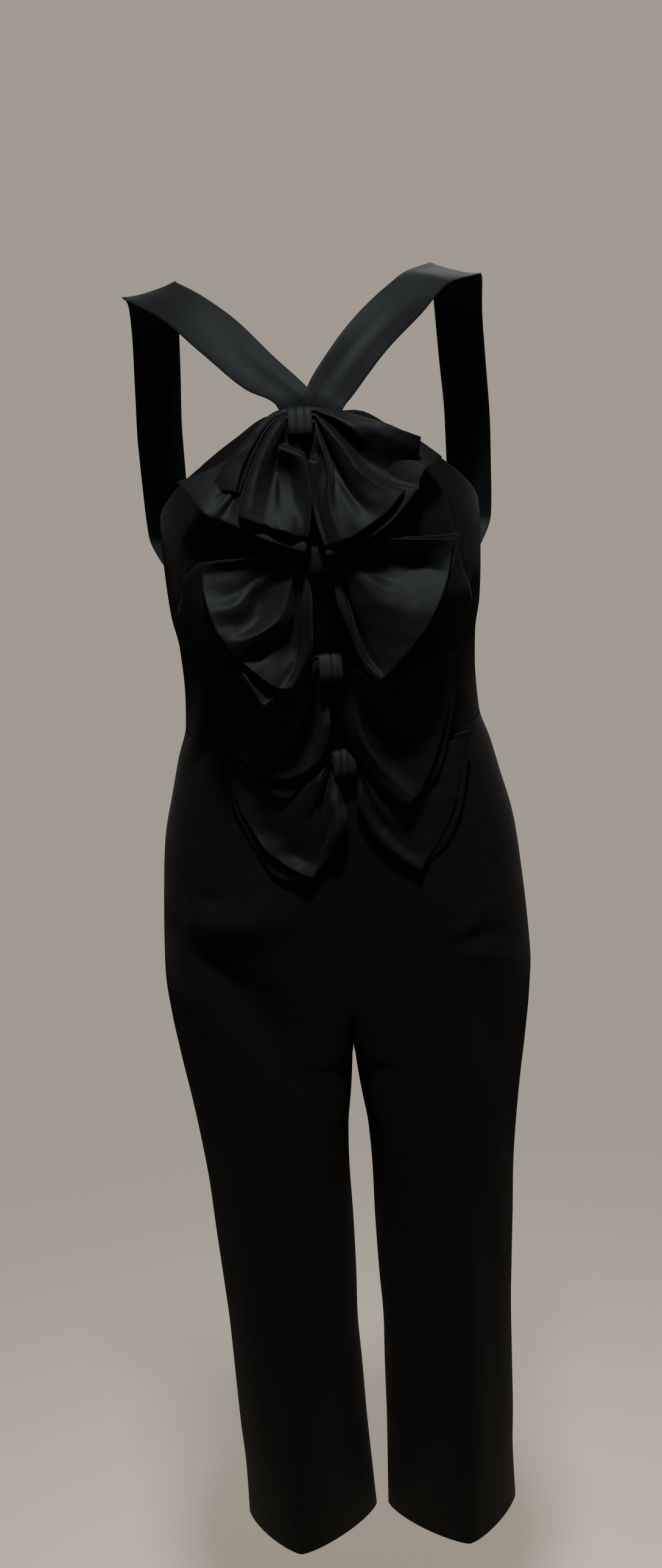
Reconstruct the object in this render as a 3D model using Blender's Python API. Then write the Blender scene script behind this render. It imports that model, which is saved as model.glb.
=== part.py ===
"""Black jumpsuit, worn and hollow, as cut-and-sewn cloth pieces.

Metres, +Z up, the front faces -Y and +X is the wearer's left. The origin is the point between
the shoulders where the two straps hold the garment up. "left" and "right" in the names mean
the -X and the +X side.
"""
import bmesh
import bpy
import numpy as np

# ---------------------------------------------------------------- driving sizes
WAIST_HEIGHT = -0.3725
CROTCH_HEIGHT = -0.668
HEM_HEIGHT = -1.165
SEAM_GAP = 0.0003
CREPE_WALL = 0.0015
SATIN_WALL = 0.0012

# The front fork starts lower than the back one, as the seat needs more length.
FRONT_FORK_TOP = -0.590
BACK_FORK_TOP = -0.540
FORK_ROUNDNESS = 2.3

# Half of the figure's level sections. half_width is the side seam, front_x and back_x are where
# the section is farthest forward and back, inner_x is the inseam (0 above the crotch). point is
# the power of the section's curve: 1 an ellipse, less a fuller form, more a pointed one.
FIGURE_COLUMNS = (
    "height", "half_width", "side_y", "front", "back", "front_x", "back_x", "inner_x", "point",
)
FIGURE = (
    (-0.080, 0.118, 0.004, 0.101, 0.094, 0.030, 0.030, 0.0, 0.87),
    (-0.120, 0.125, 0.003, 0.112, 0.093, 0.030, 0.030, 0.0, 0.87),
    (-0.160, 0.131, 0.002, 0.121, 0.091, 0.030, 0.030, 0.0, 0.87),
    (-0.205, 0.135, 0.001, 0.127, 0.089, 0.030, 0.030, 0.0, 0.87),
    (-0.240, 0.134, 0.000, 0.126, 0.087, 0.030, 0.030, 0.0, 0.87),
    (-0.270, 0.132, 0.000, 0.119, 0.084, 0.030, 0.030, 0.0, 0.87),
    (-0.300, 0.127, 0.000, 0.109, 0.081, 0.030, 0.030, 0.0, 0.87),
    (-0.335, 0.1255, 0.000, 0.100, 0.079, 0.030, 0.030, 0.0, 0.87),
    (-0.3725, 0.1275, 0.000, 0.0945, 0.080, 0.030, 0.030, 0.0, 0.87),
    (-0.403, 0.1365, 0.002, 0.096, 0.090, 0.034, 0.036, 0.0, 0.87),
    (-0.431, 0.1435, 0.004, 0.099, 0.100, 0.038, 0.044, 0.0, 0.87),
    (-0.475, 0.154, 0.007, 0.101, 0.114, 0.044, 0.056, 0.0, 0.87),
    (-0.521, 0.159, 0.009, 0.102, 0.123, 0.052, 0.066, 0.0, 0.87),
    (-0.567, 0.1625, 0.010, 0.101, 0.126, 0.060, 0.070, 0.0, 0.87),
    (-0.602, 0.164, 0.010, 0.099, 0.125, 0.066, 0.072, 0.0, 0.87),
    (-0.637, 0.1615, 0.010, 0.0965, 0.119, 0.070, 0.074, 0.0, 0.87),
    (-0.668, 0.1575, 0.009, 0.094, 0.109, 0.073, 0.075, 0.0004, 0.88),
    (-0.690, 0.1545, 0.009, 0.093, 0.103, 0.074, 0.075, 0.0022, 0.90),
    (-0.709, 0.1515, 0.008, 0.092, 0.099, 0.075, 0.075, 0.0040, 0.92),
    (-0.757, 0.1455, 0.006, 0.089, 0.092, 0.076, 0.075, 0.0090, 1.00),
    (-0.807, 0.1405, 0.004, 0.086, 0.087, 0.077, 0.074, 0.0105, 1.03),
    (-0.856, 0.138, 0.003, 0.083, 0.084, 0.077, 0.073, 0.0100, 1.06),
    (-0.907, 0.135, 0.002, 0.080, 0.082, 0.077, 0.072, 0.0105, 1.10),
    (-0.958, 0.1325, 0.002, 0.078, 0.081, 0.077, 0.071, 0.0120, 1.14),
    (-1.010, 0.1315, 0.003, 0.076, 0.081, 0.077, 0.070, 0.0105, 1.20),
    (-1.062, 0.1305, 0.004, 0.074, 0.080, 0.078, 0.069, 0.0095, 1.28),
    (-1.115, 0.1285, 0.005, 0.072, 0.078, 0.078, 0.068, 0.0075, 1.38),
    (-1.165, 0.129, 0.005, 0.070, 0.076, 0.079, 0.067, 0.0055, 1.50),
)

# Top edge of the bodice. turn goes 0 at the centre front, 2 at the side seam, 4 at the back.
TOP_EDGE_COLUMNS = ("turn", "height")
TOP_EDGE = (
    (0.0, -0.096),
    (1.0, -0.096),
    (1.2, -0.113),
    (1.45, -0.1385),
    (1.64, -0.1575),
    (1.85, -0.179),
    (2.0, -0.192),
    (2.2, -0.208),
    (2.5, -0.226),
    (3.0, -0.238),
    (4.0, -0.241),
)

# Seam between centre front and side front, which bows out to the side below the bust.
FRONT_SEAM_COLUMNS = ("height", "turn")
FRONT_SEAM = (
    (-0.138, 1.42),
    (-0.212, 1.54),
    (-0.240, 1.61),
    (-0.270, 1.73),
    (-0.295, 1.70),
    (-0.340, 1.50),
    (-0.3725, 1.44),
)

# Straps, from the end under the top bow over the shoulder to the back of the bodice. The edge
# nearer the neck is inner. The -X strap passes over the +X one, so it has its own front rows.
STRAP_COLUMNS = ("inner_x", "inner_y", "inner_z", "outer_x", "outer_y", "outer_z", "camber")
STRAP_FRONT_OVER = (
    (-0.012, -0.1110, -0.105, 0.019, -0.1144, -0.117, 0.0),
    (-0.002, -0.1053, -0.083, 0.030, -0.1066, -0.087, 0.0),
    (0.029, -0.0800, -0.052, 0.052, -0.0980, -0.076, 0.001),
    (0.060, -0.0520, -0.0225, 0.086, -0.0720, -0.048, 0.002),
    (0.0905, -0.0260, -0.002, 0.1205, -0.0380, -0.020, 0.001),
    (0.106, 0.0000, 0.0045, 0.151, 0.0010, -0.0060, -0.003),
)
STRAP_FRONT_UNDER = (
    (-0.012, -0.1091, -0.104, 0.014, -0.1135, -0.120, 0.0),
    (-0.004, -0.0992, -0.077, 0.024, -0.1068, -0.094, 0.0),
    (0.009, -0.0880, -0.058, 0.032, -0.1042, -0.086, 0.0),
    (0.036, -0.0640, -0.029, 0.061, -0.0840, -0.055, 0.001),
    (0.0635, -0.0420, -0.008, 0.0905, -0.0570, -0.031, 0.002),
    (0.085, -0.0230, 0.0035, 0.1205, -0.0280, -0.0075, 0.001),
    (0.103, 0.0000, 0.0065, 0.1450, 0.0010, -0.0050, -0.003),
)
STRAP_BACK = (
    (0.107, 0.0350, -0.001, 0.149, 0.0350, -0.016, 0.001),
    (0.109, 0.0640, -0.030, 0.150, 0.0620, -0.045, 0.001),
    (0.112, 0.0800, -0.080, 0.1525, 0.0760, -0.092, 0.0),
    (0.115, 0.0880, -0.135, 0.1545, 0.0850, -0.142, 0.0),
    (0.115, 0.0910, -0.185, 0.1540, 0.0920, -0.190, 0.0),
    (0.110, 0.0890, -0.218, 0.1525, 0.0930, -0.222, 0.001),
    (0.0985, 0.0790, -0.236, 0.1430, 0.0780, -0.242, 0.003),
    (0.0880, 0.0758, -0.255, 0.1210, 0.0520, -0.262, 0.0035),
)

# Knot bands. lift is how far the back of the band stands off the bodice.
KNOT_COLUMNS = ("x", "z", "lift", "tilt")
KNOTS = (
    (-0.011, -0.098, 0.0050, 0.0),
    (-0.004, -0.206, 0.0004, 0.0),
    (0.001, -0.2985, 0.0004, 0.0),
    (0.0076, -0.384, 0.0004, 0.12),
)
KNOT_WIDTH = 0.0195
KNOT_HEIGHT = 0.0215
KNOT_DEPTH = 0.0125
KNOT_WALL = 0.0017
GATHER_HEIGHT = 0.0145
WING_START = KNOT_WIDTH / 2 + 0.0022
BACK_PIECE_LIFT = 0.0033
FRONT_PIECE_LIFT = 0.0066

# How flat the bows hang: a wing falls back by this times the cube of its distance from x = 0.
WING_SWEEP = 12.0

# Free end of each wing, from its top corner (across 0) to its lower tip (across 1), measured
# from the knot's centre; lift is how far it stands off the bodice. Rows of the front layer.
WING_COLUMNS = ("across", "x", "z", "lift")
WINGS_FRONT = {
    (1, "left"): (
        (0.00, -0.074, -0.0450, 0.0170),
        (0.28, -0.058, -0.0590, 0.0190),
        (0.50, -0.048, -0.0780, 0.0215),
        (0.75, -0.025, -0.0860, 0.0225),
        (1.00, 0.001, -0.0910, 0.0230),
    ),
    (1, "right"): (
        (0.00, 0.0945, -0.0220, 0.0150),
        (0.25, 0.0870, -0.0530, 0.0185),
        (0.50, 0.0730, -0.0710, 0.0210),
        (0.75, 0.0460, -0.0910, 0.0225),
        (1.00, 0.0135, -0.1005, 0.0230),
    ),
    (2, "left"): (
        (0.00, -0.0880, 0.0010, 0.0110),
        (0.25, -0.0905, -0.0330, 0.0165),
        (0.50, -0.0790, -0.0630, 0.0205),
        (0.75, -0.0570, -0.0870, 0.0235),
        (1.00, -0.0290, -0.1090, 0.0250),
    ),
    (2, "right"): (
        (0.00, 0.1160, 0.0080, 0.0120),
        (0.25, 0.1080, -0.0290, 0.0170),
        (0.50, 0.0930, -0.0610, 0.0205),
        (0.75, 0.0700, -0.0890, 0.0235),
        (1.00, 0.0420, -0.1080, 0.0250),
    ),
    (3, "left"): (
        (0.00, -0.0900, -0.0035, 0.0100),
        (0.25, -0.0925, -0.0375, 0.0165),
        (0.50, -0.0830, -0.0735, 0.0225),
        (0.75, -0.0640, -0.0995, 0.0255),
        (1.00, -0.0400, -0.1165, 0.0265),
    ),
    (3, "right"): (
        (0.00, 0.0990, -0.0035, 0.0100),
        (0.25, 0.0970, -0.0375, 0.0165),
        (0.50, 0.0900, -0.0715, 0.0225),
        (0.75, 0.0790, -0.1025, 0.0255),
        (1.00, 0.0560, -0.1225, 0.0265),
    ),
    (4, "left"): (
        (0.00, -0.0940, 0.0000, 0.0100),
        (0.25, -0.0935, -0.0260, 0.0135),
        (0.50, -0.0820, -0.0540, 0.0165),
        (0.75, -0.0580, -0.0820, 0.0185),
        (1.00, -0.0330, -0.0995, 0.0195),
    ),
    (4, "right"): (
        (0.00, 0.0960, 0.0070, 0.0100),
        (0.25, 0.0940, -0.0250, 0.0135),
        (0.50, 0.0880, -0.0530, 0.0165),
        (0.75, 0.0760, -0.0780, 0.0185),
        (1.00, 0.0570, -0.1020, 0.0195),
    ),
}
WINGS_BACK = {
    (1, "left"): (
        (0.00, -0.1015, -0.0470, 0.0110),
        (0.20, -0.0785, -0.0710, 0.0130),
        (0.45, -0.0600, -0.0840, 0.0150),
        (0.75, -0.0330, -0.0950, 0.0165),
        (1.00, -0.0100, -0.1030, 0.0170),
    ),
    (1, "right"): (
        (0.00, 0.1100, -0.0400, 0.0100),
        (0.25, 0.0900, -0.0610, 0.0130),
        (0.50, 0.0740, -0.0800, 0.0150),
        (0.75, 0.0480, -0.0970, 0.0165),
        (1.00, 0.0140, -0.1075, 0.0170),
    ),
    (2, "left"): (
        (0.00, -0.0990, -0.0020, 0.0060),
        (0.25, -0.1110, -0.0290, 0.0110),
        (0.50, -0.1060, -0.0630, 0.0150),
        (0.75, -0.0800, -0.0950, 0.0175),
        (1.00, -0.0480, -0.1190, 0.0190),
    ),
    (2, "right"): (
        (0.00, 0.1190, 0.0135, 0.0070),
        (0.25, 0.1120, -0.0300, 0.0115),
        (0.50, 0.0970, -0.0630, 0.0150),
        (0.75, 0.0720, -0.0910, 0.0175),
        (1.00, 0.0430, -0.1050, 0.0190),
    ),
    (3, "left"): (
        (0.00, -0.0940, -0.0005, 0.0055),
        (0.25, -0.0975, -0.0395, 0.0115),
        (0.50, -0.0860, -0.0795, 0.0170),
        (0.75, -0.0640, -0.1135, 0.0200),
        (1.00, -0.0410, -0.1385, 0.0210),
    ),
    (3, "right"): (
        (0.00, 0.1020, -0.0005, 0.0055),
        (0.25, 0.1010, -0.0395, 0.0115),
        (0.50, 0.0935, -0.0755, 0.0170),
        (0.75, 0.0800, -0.1065, 0.0200),
        (1.00, 0.0560, -0.1215, 0.0210),
    ),
    (4, "left"): (
        (0.00, -0.0970, 0.0040, 0.0055),
        (0.25, -0.0985, -0.0290, 0.0090),
        (0.50, -0.0880, -0.0600, 0.0115),
        (0.75, -0.0720, -0.0880, 0.0130),
        (1.00, -0.0500, -0.1040, 0.0140),
    ),
    (4, "right"): (
        (0.00, 0.1060, 0.0130, 0.0055),
        (0.25, 0.1010, -0.0250, 0.0090),
        (0.50, 0.0930, -0.0580, 0.0115),
        (0.75, 0.0790, -0.0830, 0.0130),
        (1.00, 0.0560, -0.0980, 0.0140),
    ),
}

# How far the lower edge of a wing curves in under its knot, and how far along it does so most.
TUCK_COLUMNS = ("amount", "place")
TUCKS = {
    (1, "left"): (0.0128, 0.33),
    (1, "right"): (0.0055, 0.32),
    (2, "left"): (0.0125, 0.55),
    (2, "right"): (0.0060, 0.45),
    (3, "left"): (0.0100, 0.45),
    (3, "right"): (0.0180, 0.45),
    (4, "left"): (0.0140, 0.45),
    (4, "right"): (0.0150, 0.45),
}

# Largest folds of the front layers. across is the fold's place between the wing's top (0) and
# lower (1) edge, start and end its stretch between the knot (0) and the free end (1).
FOLD_COLUMNS = ("across", "width", "height", "start", "end")
FOLDS = {
    (1, "left"): (
        (0.22, 0.10, 0.0060, 0.04, 1.10),
        (0.62, 0.13, 0.0080, 0.02, 1.00),
    ),
    (1, "right"): (
        (0.12, 0.10, 0.0050, 0.02, 0.70),
        (0.45, 0.12, 0.0080, 0.02, 1.05),
        (0.90, 0.12, 0.0060, 0.10, 1.05),
    ),
    (2, "left"): (
        (0.30, 0.12, 0.0050, 0.20, 0.90),
        (0.80, 0.12, 0.0060, 0.20, 0.90),
    ),
    (2, "right"): (
        (0.40, 0.13, 0.0070, 0.15, 0.95),
        (0.88, 0.10, 0.0050, 0.20, 1.00),
    ),
    (3, "left"): (
        (0.45, 0.13, 0.0030, 0.25, 0.90),
        (0.82, 0.12, 0.0050, 0.10, 0.90),
    ),
    (3, "right"): (
        (0.45, 0.13, 0.0030, 0.25, 0.90),
        (0.84, 0.12, 0.0050, 0.10, 0.90),
    ),
    (4, "left"): (
        (0.42, 0.13, 0.0030, 0.40, 0.95),
        (0.80, 0.13, 0.0050, 0.40, 1.00),
    ),
    (4, "right"): (
        (0.45, 0.13, 0.0030, 0.40, 0.95),
        (0.80, 0.13, 0.0050, 0.40, 1.00),
    ),
}

# Grid sizes, in quads.
BODICE_ROWS = 10
CENTRE_FRONT_COLUMNS = 15
SIDE_FRONT_COLUMNS = 4
BODICE_BACK_COLUMNS = 10
TROUSER_COLUMNS = 12
HIP_ROWS = 7
FORK_ROWS = 8
LEG_ROWS = 10
STRAP_ACROSS = 3
STRAP_ALONG = 34
BOW_ACROSS = 11
WING_STEPS = 7
WAIST_STEPS = 2
KNOT_AROUND = 16
KNOT_ALONG = 3

SIDES = {"left": -1.0, "right": 1.0}


# ---------------------------------------------------------------- tables and curves
def column(columns, rows, name):
    """One named column of a table."""
    return np.array([row[columns.index(name)] for row in rows])


def named(columns, row):
    """One row of a table, by column name."""
    return dict(zip(columns, row))


def smooth(at, knots, values):
    """Cubic through the table's points with no overshoot: each slope is the smaller neighbour's."""
    at = np.asarray(at, dtype=float)
    order = np.argsort(knots)
    knots = np.asarray(knots, dtype=float)[order]
    values = np.asarray(values, dtype=float)[order]
    chord = np.diff(values) / np.diff(knots)
    slope = np.zeros_like(values)
    same_way = chord[:-1] * chord[1:] > 0.0
    mean = 2.0 * chord[:-1] * chord[1:] / np.where(same_way, chord[:-1] + chord[1:], 1.0)
    slope[1:-1] = np.where(same_way, mean, 0.0)
    slope[0] = chord[0]
    slope[-1] = chord[-1]
    place = np.clip(np.searchsorted(knots, at) - 1, 0, len(knots) - 2)
    span = knots[place + 1] - knots[place]
    t = np.clip((at - knots[place]) / span, 0.0, 1.0)
    start = values[place] * (1.0 + 2.0 * t) * (1.0 - t) ** 2
    start += slope[place] * span * t * (1.0 - t) ** 2
    finish = values[place + 1] * t ** 2 * (3.0 - 2.0 * t)
    finish += slope[place + 1] * span * t ** 2 * (t - 1.0)
    return start + finish


def figure(name, height):
    """A column of the figure's table at any height."""
    heights = column(FIGURE_COLUMNS, FIGURE, "height")
    return smooth(height, heights, column(FIGURE_COLUMNS, FIGURE, name))


def signed_power(value, exponent):
    """A power that keeps the value's sign, for rounded corners."""
    return np.sign(value) * np.abs(value) ** exponent


def fork(height, top, inset):
    """1 above the fork, falling to 0 at the crotch along a rounded J, which is the seam's line."""
    bottom = CROTCH_HEIGHT + inset
    fall = np.clip((top - height) / (top - bottom), 0.0, 1.0)
    return (1.0 - fall ** FORK_ROUNDNESS) ** (1.0 / FORK_ROUNDNESS)


def body_point(turn, height, inset=0.0):
    """A point of the right half of bodice and trousers.

    turn runs 0 to 4: centre front or inseam, farthest forward, side seam, farthest back, centre
    back or inseam. Each stretch is a quarter of an oval; inset shrinks the section all round.
    """
    turn, height = np.broadcast_arrays(np.asarray(turn, float), np.asarray(height, float))
    mirrored = turn > 2.0
    quarter = np.where(mirrored, 4.0 - turn, turn)
    half_width = figure("half_width", height) - inset
    side_y = figure("side_y", height)
    front = -(figure("front", height) - inset)
    back = figure("back", height) - inset
    reach = np.where(mirrored, back, front)
    reach_x = np.where(mirrored, figure("back_x", height), figure("front_x", height))
    back_fork = fork(height, BACK_FORK_TOP, inset)
    front_fork = fork(height, FRONT_FORK_TOP, inset)
    fork_left = np.where(mirrored, back_fork, front_fork)
    inner_x = figure("inner_x", height) + inset * (1.0 - fork_left)
    inner_y = side_y + (reach - side_y) * fork_left
    inner_angle = np.clip(quarter, 0.0, 1.0) * np.pi / 2
    outer_angle = np.clip(quarter - 1.0, 0.0, 1.0) * np.pi / 2
    point = figure("point", height)
    inner_point = np.maximum(point, 1.0)
    inner_part_x = reach_x - (reach_x - inner_x) * np.cos(inner_angle) ** inner_point
    inner_part_y = inner_y + (reach - inner_y) * np.sin(inner_angle) ** inner_point
    outer_part_x = reach_x + (half_width - reach_x) * signed_power(np.sin(outer_angle), point)
    outer_part_y = side_y + (reach - side_y) * signed_power(np.cos(outer_angle), point)
    x = np.where(quarter < 1.0, inner_part_x, outer_part_x)
    y = np.where(quarter < 1.0, inner_part_y, outer_part_y)
    return np.stack([x, y, height], axis=-1)


def trim(points):
    """Move the first and last columns in by half the seam gap, along the surface."""
    trimmed = points.copy()
    for edge, inner in ((0, 1), (-1, -2)):
        step = points[:, inner] - points[:, edge]
        step /= np.linalg.norm(step, axis=-1, keepdims=True)
        trimmed[:, edge] += step * SEAM_GAP / 2
    return trimmed


# ---------------------------------------------------------------- solids
def make_material(name, colour, roughness):
    """A plain cloth material."""
    material = bpy.data.materials.new(name)
    material.use_nodes = True
    shader = material.node_tree.nodes["Principled BSDF"]
    shader.inputs["Base Color"].default_value = (*colour, 1.0)
    shader.inputs["Roughness"].default_value = roughness
    shader.inputs["Metallic"].default_value = 0.0
    return material


def make_object(name, vertices, faces, material):
    """A named object from points and faces, with its faces turned outward."""
    mesh = bpy.data.meshes.new(name)
    mesh.from_pydata([tuple(vertex) for vertex in vertices], [], faces)
    mesh.materials.append(material)
    sheet = bmesh.new()
    sheet.from_mesh(mesh)
    bmesh.ops.recalc_face_normals(sheet, faces=sheet.faces[:])
    sheet.to_mesh(mesh)
    sheet.free()
    mesh.shade_smooth()
    thing = bpy.data.objects.new(name, mesh)
    bpy.context.scene.collection.objects.link(thing)
    return thing


def grid_faces(points, offset, ring=False):
    """Two triangles for each cell of a grid of points stored row by row.

    A cell is split along its shorter diagonal; ring joins the last column to the first.
    """
    rows, columns = points.shape[:2]
    faces = []
    for row in range(rows - 1):
        for col in range(columns if ring else columns - 1):
            right = (col + 1) % columns
            here = offset + row * columns + col
            beside = offset + row * columns + right
            below = offset + (row + 1) * columns + col
            across = offset + (row + 1) * columns + right
            falling = np.linalg.norm(points[row, col] - points[row + 1, right])
            rising = np.linalg.norm(points[row, right] - points[row + 1, col])
            if falling <= rising:
                faces += [(here, beside, across), (here, across, below)]
            else:
                faces += [(here, beside, below), (beside, across, below)]
    return faces


def both_sides(outer, ring=False):
    """Triangles of a wall's outer and inner grids, split alike so that the wall stays even."""
    count = outer.shape[0] * outer.shape[1]
    return grid_faces(outer, 0, ring) + [face[::-1] for face in grid_faces(outer, count, ring)]


def wall_solid(name, outer, inner, material):
    """A closed cloth wall between two grids of points of one size."""
    rows, columns = outer.shape[:2]
    count = rows * columns
    vertices = np.concatenate([outer.reshape(-1, 3), inner.reshape(-1, 3)])
    faces = both_sides(outer)
    top = list(range(columns))
    right = [row * columns + columns - 1 for row in range(rows)]
    bottom = [(rows - 1) * columns + col for col in reversed(range(columns))]
    left = [row * columns for row in reversed(range(rows))]
    loop = top[:-1] + right[:-1] + bottom[:-1] + left[:-1]
    for here, after in zip(loop, loop[1:] + loop[:1]):
        faces.append((after, here, here + count, after + count))
    return make_object(name, vertices, faces, material)


def ring_solid(name, outer, inner, material):
    """A closed band: both grids are rings, joined along their two open edges."""
    rows, columns = outer.shape[:2]
    count = rows * columns
    vertices = np.concatenate([outer.reshape(-1, 3), inner.reshape(-1, 3)])
    faces = both_sides(outer, ring=True)
    for row in (0, rows - 1):
        for col in range(columns):
            here = row * columns + col
            after = row * columns + (col + 1) % columns
            faces.append((after, here, here + count, after + count))
    return make_object(name, vertices, faces, material)


def sheet_normals(points):
    """Unit normals of a grid of points."""
    along = np.gradient(points, axis=0)
    across = np.gradient(points, axis=1)
    normal = np.cross(along, across)
    return normal / np.linalg.norm(normal, axis=-1, keepdims=True)


def double_face(name, middle, wall, material):
    """A closed cloth wall around its middle surface."""
    push = sheet_normals(middle) * wall / 2
    return wall_solid(name, middle + push, middle - push, material)


# ---------------------------------------------------------------- bodice
def top_edge(turn):
    """Height of the bodice's top edge."""
    turns = column(TOP_EDGE_COLUMNS, TOP_EDGE, "turn")
    return smooth(turn, turns, column(TOP_EDGE_COLUMNS, TOP_EDGE, "height"))


def front_seam(height):
    """Turn of the seam between centre front and +X side front."""
    heights = column(FRONT_SEAM_COLUMNS, FRONT_SEAM, "height")
    return smooth(height, heights, column(FRONT_SEAM_COLUMNS, FRONT_SEAM, "turn"))


def far_front_seam(height):
    """Turn of the same seam on the -X side."""
    return -front_seam(height)


def side_seam(height):
    return np.full_like(height, 2.0)


def back_opening(height):
    return np.full_like(height, 4.0)


def bodice_points(first_turn, last_turn, columns, inset):
    """Grid between two seams, from the top edge down to the waist.

    Each seam is a function of height. The row heights are found per column, because the top
    edge slopes.
    """
    share = np.linspace(0.0, 1.0, columns + 1)[None, :]
    drop = np.linspace(0.0, 1.0, BODICE_ROWS + 1)[:, None]
    bottom = WAIST_HEIGHT + SEAM_GAP / 2
    height = np.full((BODICE_ROWS + 1, columns + 1), bottom)
    turn = np.zeros_like(height)
    for _ in range(12):
        turn = first_turn(height) * (1.0 - share) + last_turn(height) * share
        edge = top_edge(np.abs(turn[:1]))
        height = edge * (1.0 - drop) + bottom * drop
    points = body_point(np.abs(turn), height, inset)
    points[..., 0] *= np.where(turn < 0.0, -1.0, 1.0)
    return points


def build_bodice_panel(name, first_turn, last_turn, columns, sign, crepe):
    """One bodice panel between two seams; sign -1 turns it over to the -X side."""
    flip = np.array([sign, 1.0, 1.0])
    outer = trim(bodice_points(first_turn, last_turn, columns, 0.0))
    inner = trim(bodice_points(first_turn, last_turn, columns, CREPE_WALL))
    wall_solid(name, outer * flip, inner * flip, crepe)


def build_bodice(crepe):
    """Centre front, two side fronts and two backs, meeting at seams."""
    build_bodice_panel(
        "bodice_centre_front", far_front_seam, front_seam, CENTRE_FRONT_COLUMNS, 1.0, crepe
    )
    for side, sign in SIDES.items():
        build_bodice_panel(
            f"bodice_side_front_{side}", front_seam, side_seam, SIDE_FRONT_COLUMNS, sign, crepe
        )
        build_bodice_panel(
            f"bodice_back_{side}", side_seam, back_opening, BODICE_BACK_COLUMNS, sign, crepe
        )


# ---------------------------------------------------------------- trousers
def trouser_heights(inset):
    """Row heights: even over the hip, close together down the fork, even down the leg."""
    top = WAIST_HEIGHT - SEAM_GAP / 2
    hip = np.linspace(top, FRONT_FORK_TOP, HIP_ROWS, endpoint=False)
    bottom = CROTCH_HEIGHT + inset
    ease = 1.0 - (1.0 - np.linspace(0.0, 1.0, FORK_ROWS, endpoint=False)) ** 1.7
    down_fork = FRONT_FORK_TOP + (bottom - FRONT_FORK_TOP) * ease
    leg_share = np.linspace(0.0, 1.0, LEG_ROWS + 1) ** 1.15
    leg = bottom + (HEM_HEIGHT - bottom) * leg_share
    return np.concatenate([hip, down_fork, leg])


def trouser_points(turn_from, turn_to, inset):
    """Grid of one trouser panel, from the waist seam to the hem."""
    turn = np.linspace(turn_from, turn_to, TROUSER_COLUMNS + 1)[None, :]
    return body_point(turn, trouser_heights(inset)[:, None], inset)


def build_trousers(crepe):
    """Front and back of each leg, from the waist seam to the hem."""
    for side, sign in SIDES.items():
        flip = np.array([sign, 1.0, 1.0])
        for place, turns in (("front", (0.0, 2.0)), ("back", (2.0, 4.0))):
            outer = trim(trouser_points(*turns, 0.0)) * flip
            inner = trim(trouser_points(*turns, CREPE_WALL)) * flip
            wall_solid(f"trouser_{place}_{side}", outer, inner, crepe)


# ---------------------------------------------------------------- straps
def strap_middle(rows):
    """Middle surface of a strap, ruled between two smooth edges."""
    inner = np.stack([column(STRAP_COLUMNS, rows, "inner_" + axis) for axis in "xyz"])
    outer = np.stack([column(STRAP_COLUMNS, rows, "outer_" + axis) for axis in "xyz"])
    steps = np.linalg.norm(np.diff((inner + outer) / 2, axis=1), axis=0)
    along = np.concatenate([[0.0], np.cumsum(steps)])
    at = np.linspace(0.0, along[-1], STRAP_ALONG + 1)
    inner_edge = np.stack([smooth(at, along, values) for values in inner], axis=-1)[:, None]
    outer_edge = np.stack([smooth(at, along, values) for values in outer], axis=-1)[:, None]
    camber = smooth(at, along, column(STRAP_COLUMNS, rows, "camber"))[:, None, None]
    across = np.linspace(0.0, 1.0, STRAP_ACROSS + 1)[None, :, None]
    flat = inner_edge * (1.0 - across) + outer_edge * across
    return flat - sheet_normals(flat) * camber * 4.0 * across * (1.0 - across)


def build_straps(satin):
    """Two straps that cross over the bodice's front and are sewn to its back."""
    for side, front_rows in (("left", STRAP_FRONT_OVER), ("right", STRAP_FRONT_UNDER)):
        flip = np.array([SIDES[side], 1.0, 1.0])
        middle = strap_middle(front_rows + STRAP_BACK) * flip
        double_face(f"strap_{side}", middle, SATIN_WALL, satin)


# ---------------------------------------------------------------- bows
def wing_end(rows, across):
    """Free end of a wing: x, z and lift at each place across it."""
    knots = column(WING_COLUMNS, rows, "across")
    return [smooth(across, knots, column(WING_COLUMNS, rows, name)) for name in ("x", "z", "lift")]


def fold_relief(rows, across, along):
    """Height of the folds: a rounded ridge across, rising and dying away along the wing."""
    relief = np.zeros(np.broadcast(across, along).shape)
    for row in rows:
        fold = named(FOLD_COLUMNS, row)
        ridge = np.exp(-((across - fold["across"]) / fold["width"]) ** 2)
        stretch = np.clip((along - fold["start"]) / (fold["end"] - fold["start"]), 0.0, 1.0)
        relief += fold["height"] * ridge * np.sin(np.pi * stretch) ** 0.8
    return relief


def hang(x, height, lift):
    """Depth of a bow's point: off the bodice's centre front by its lift, falling back sideways."""
    return -figure("front", height) + WING_SWEEP * np.abs(x) ** 3 - lift


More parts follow.
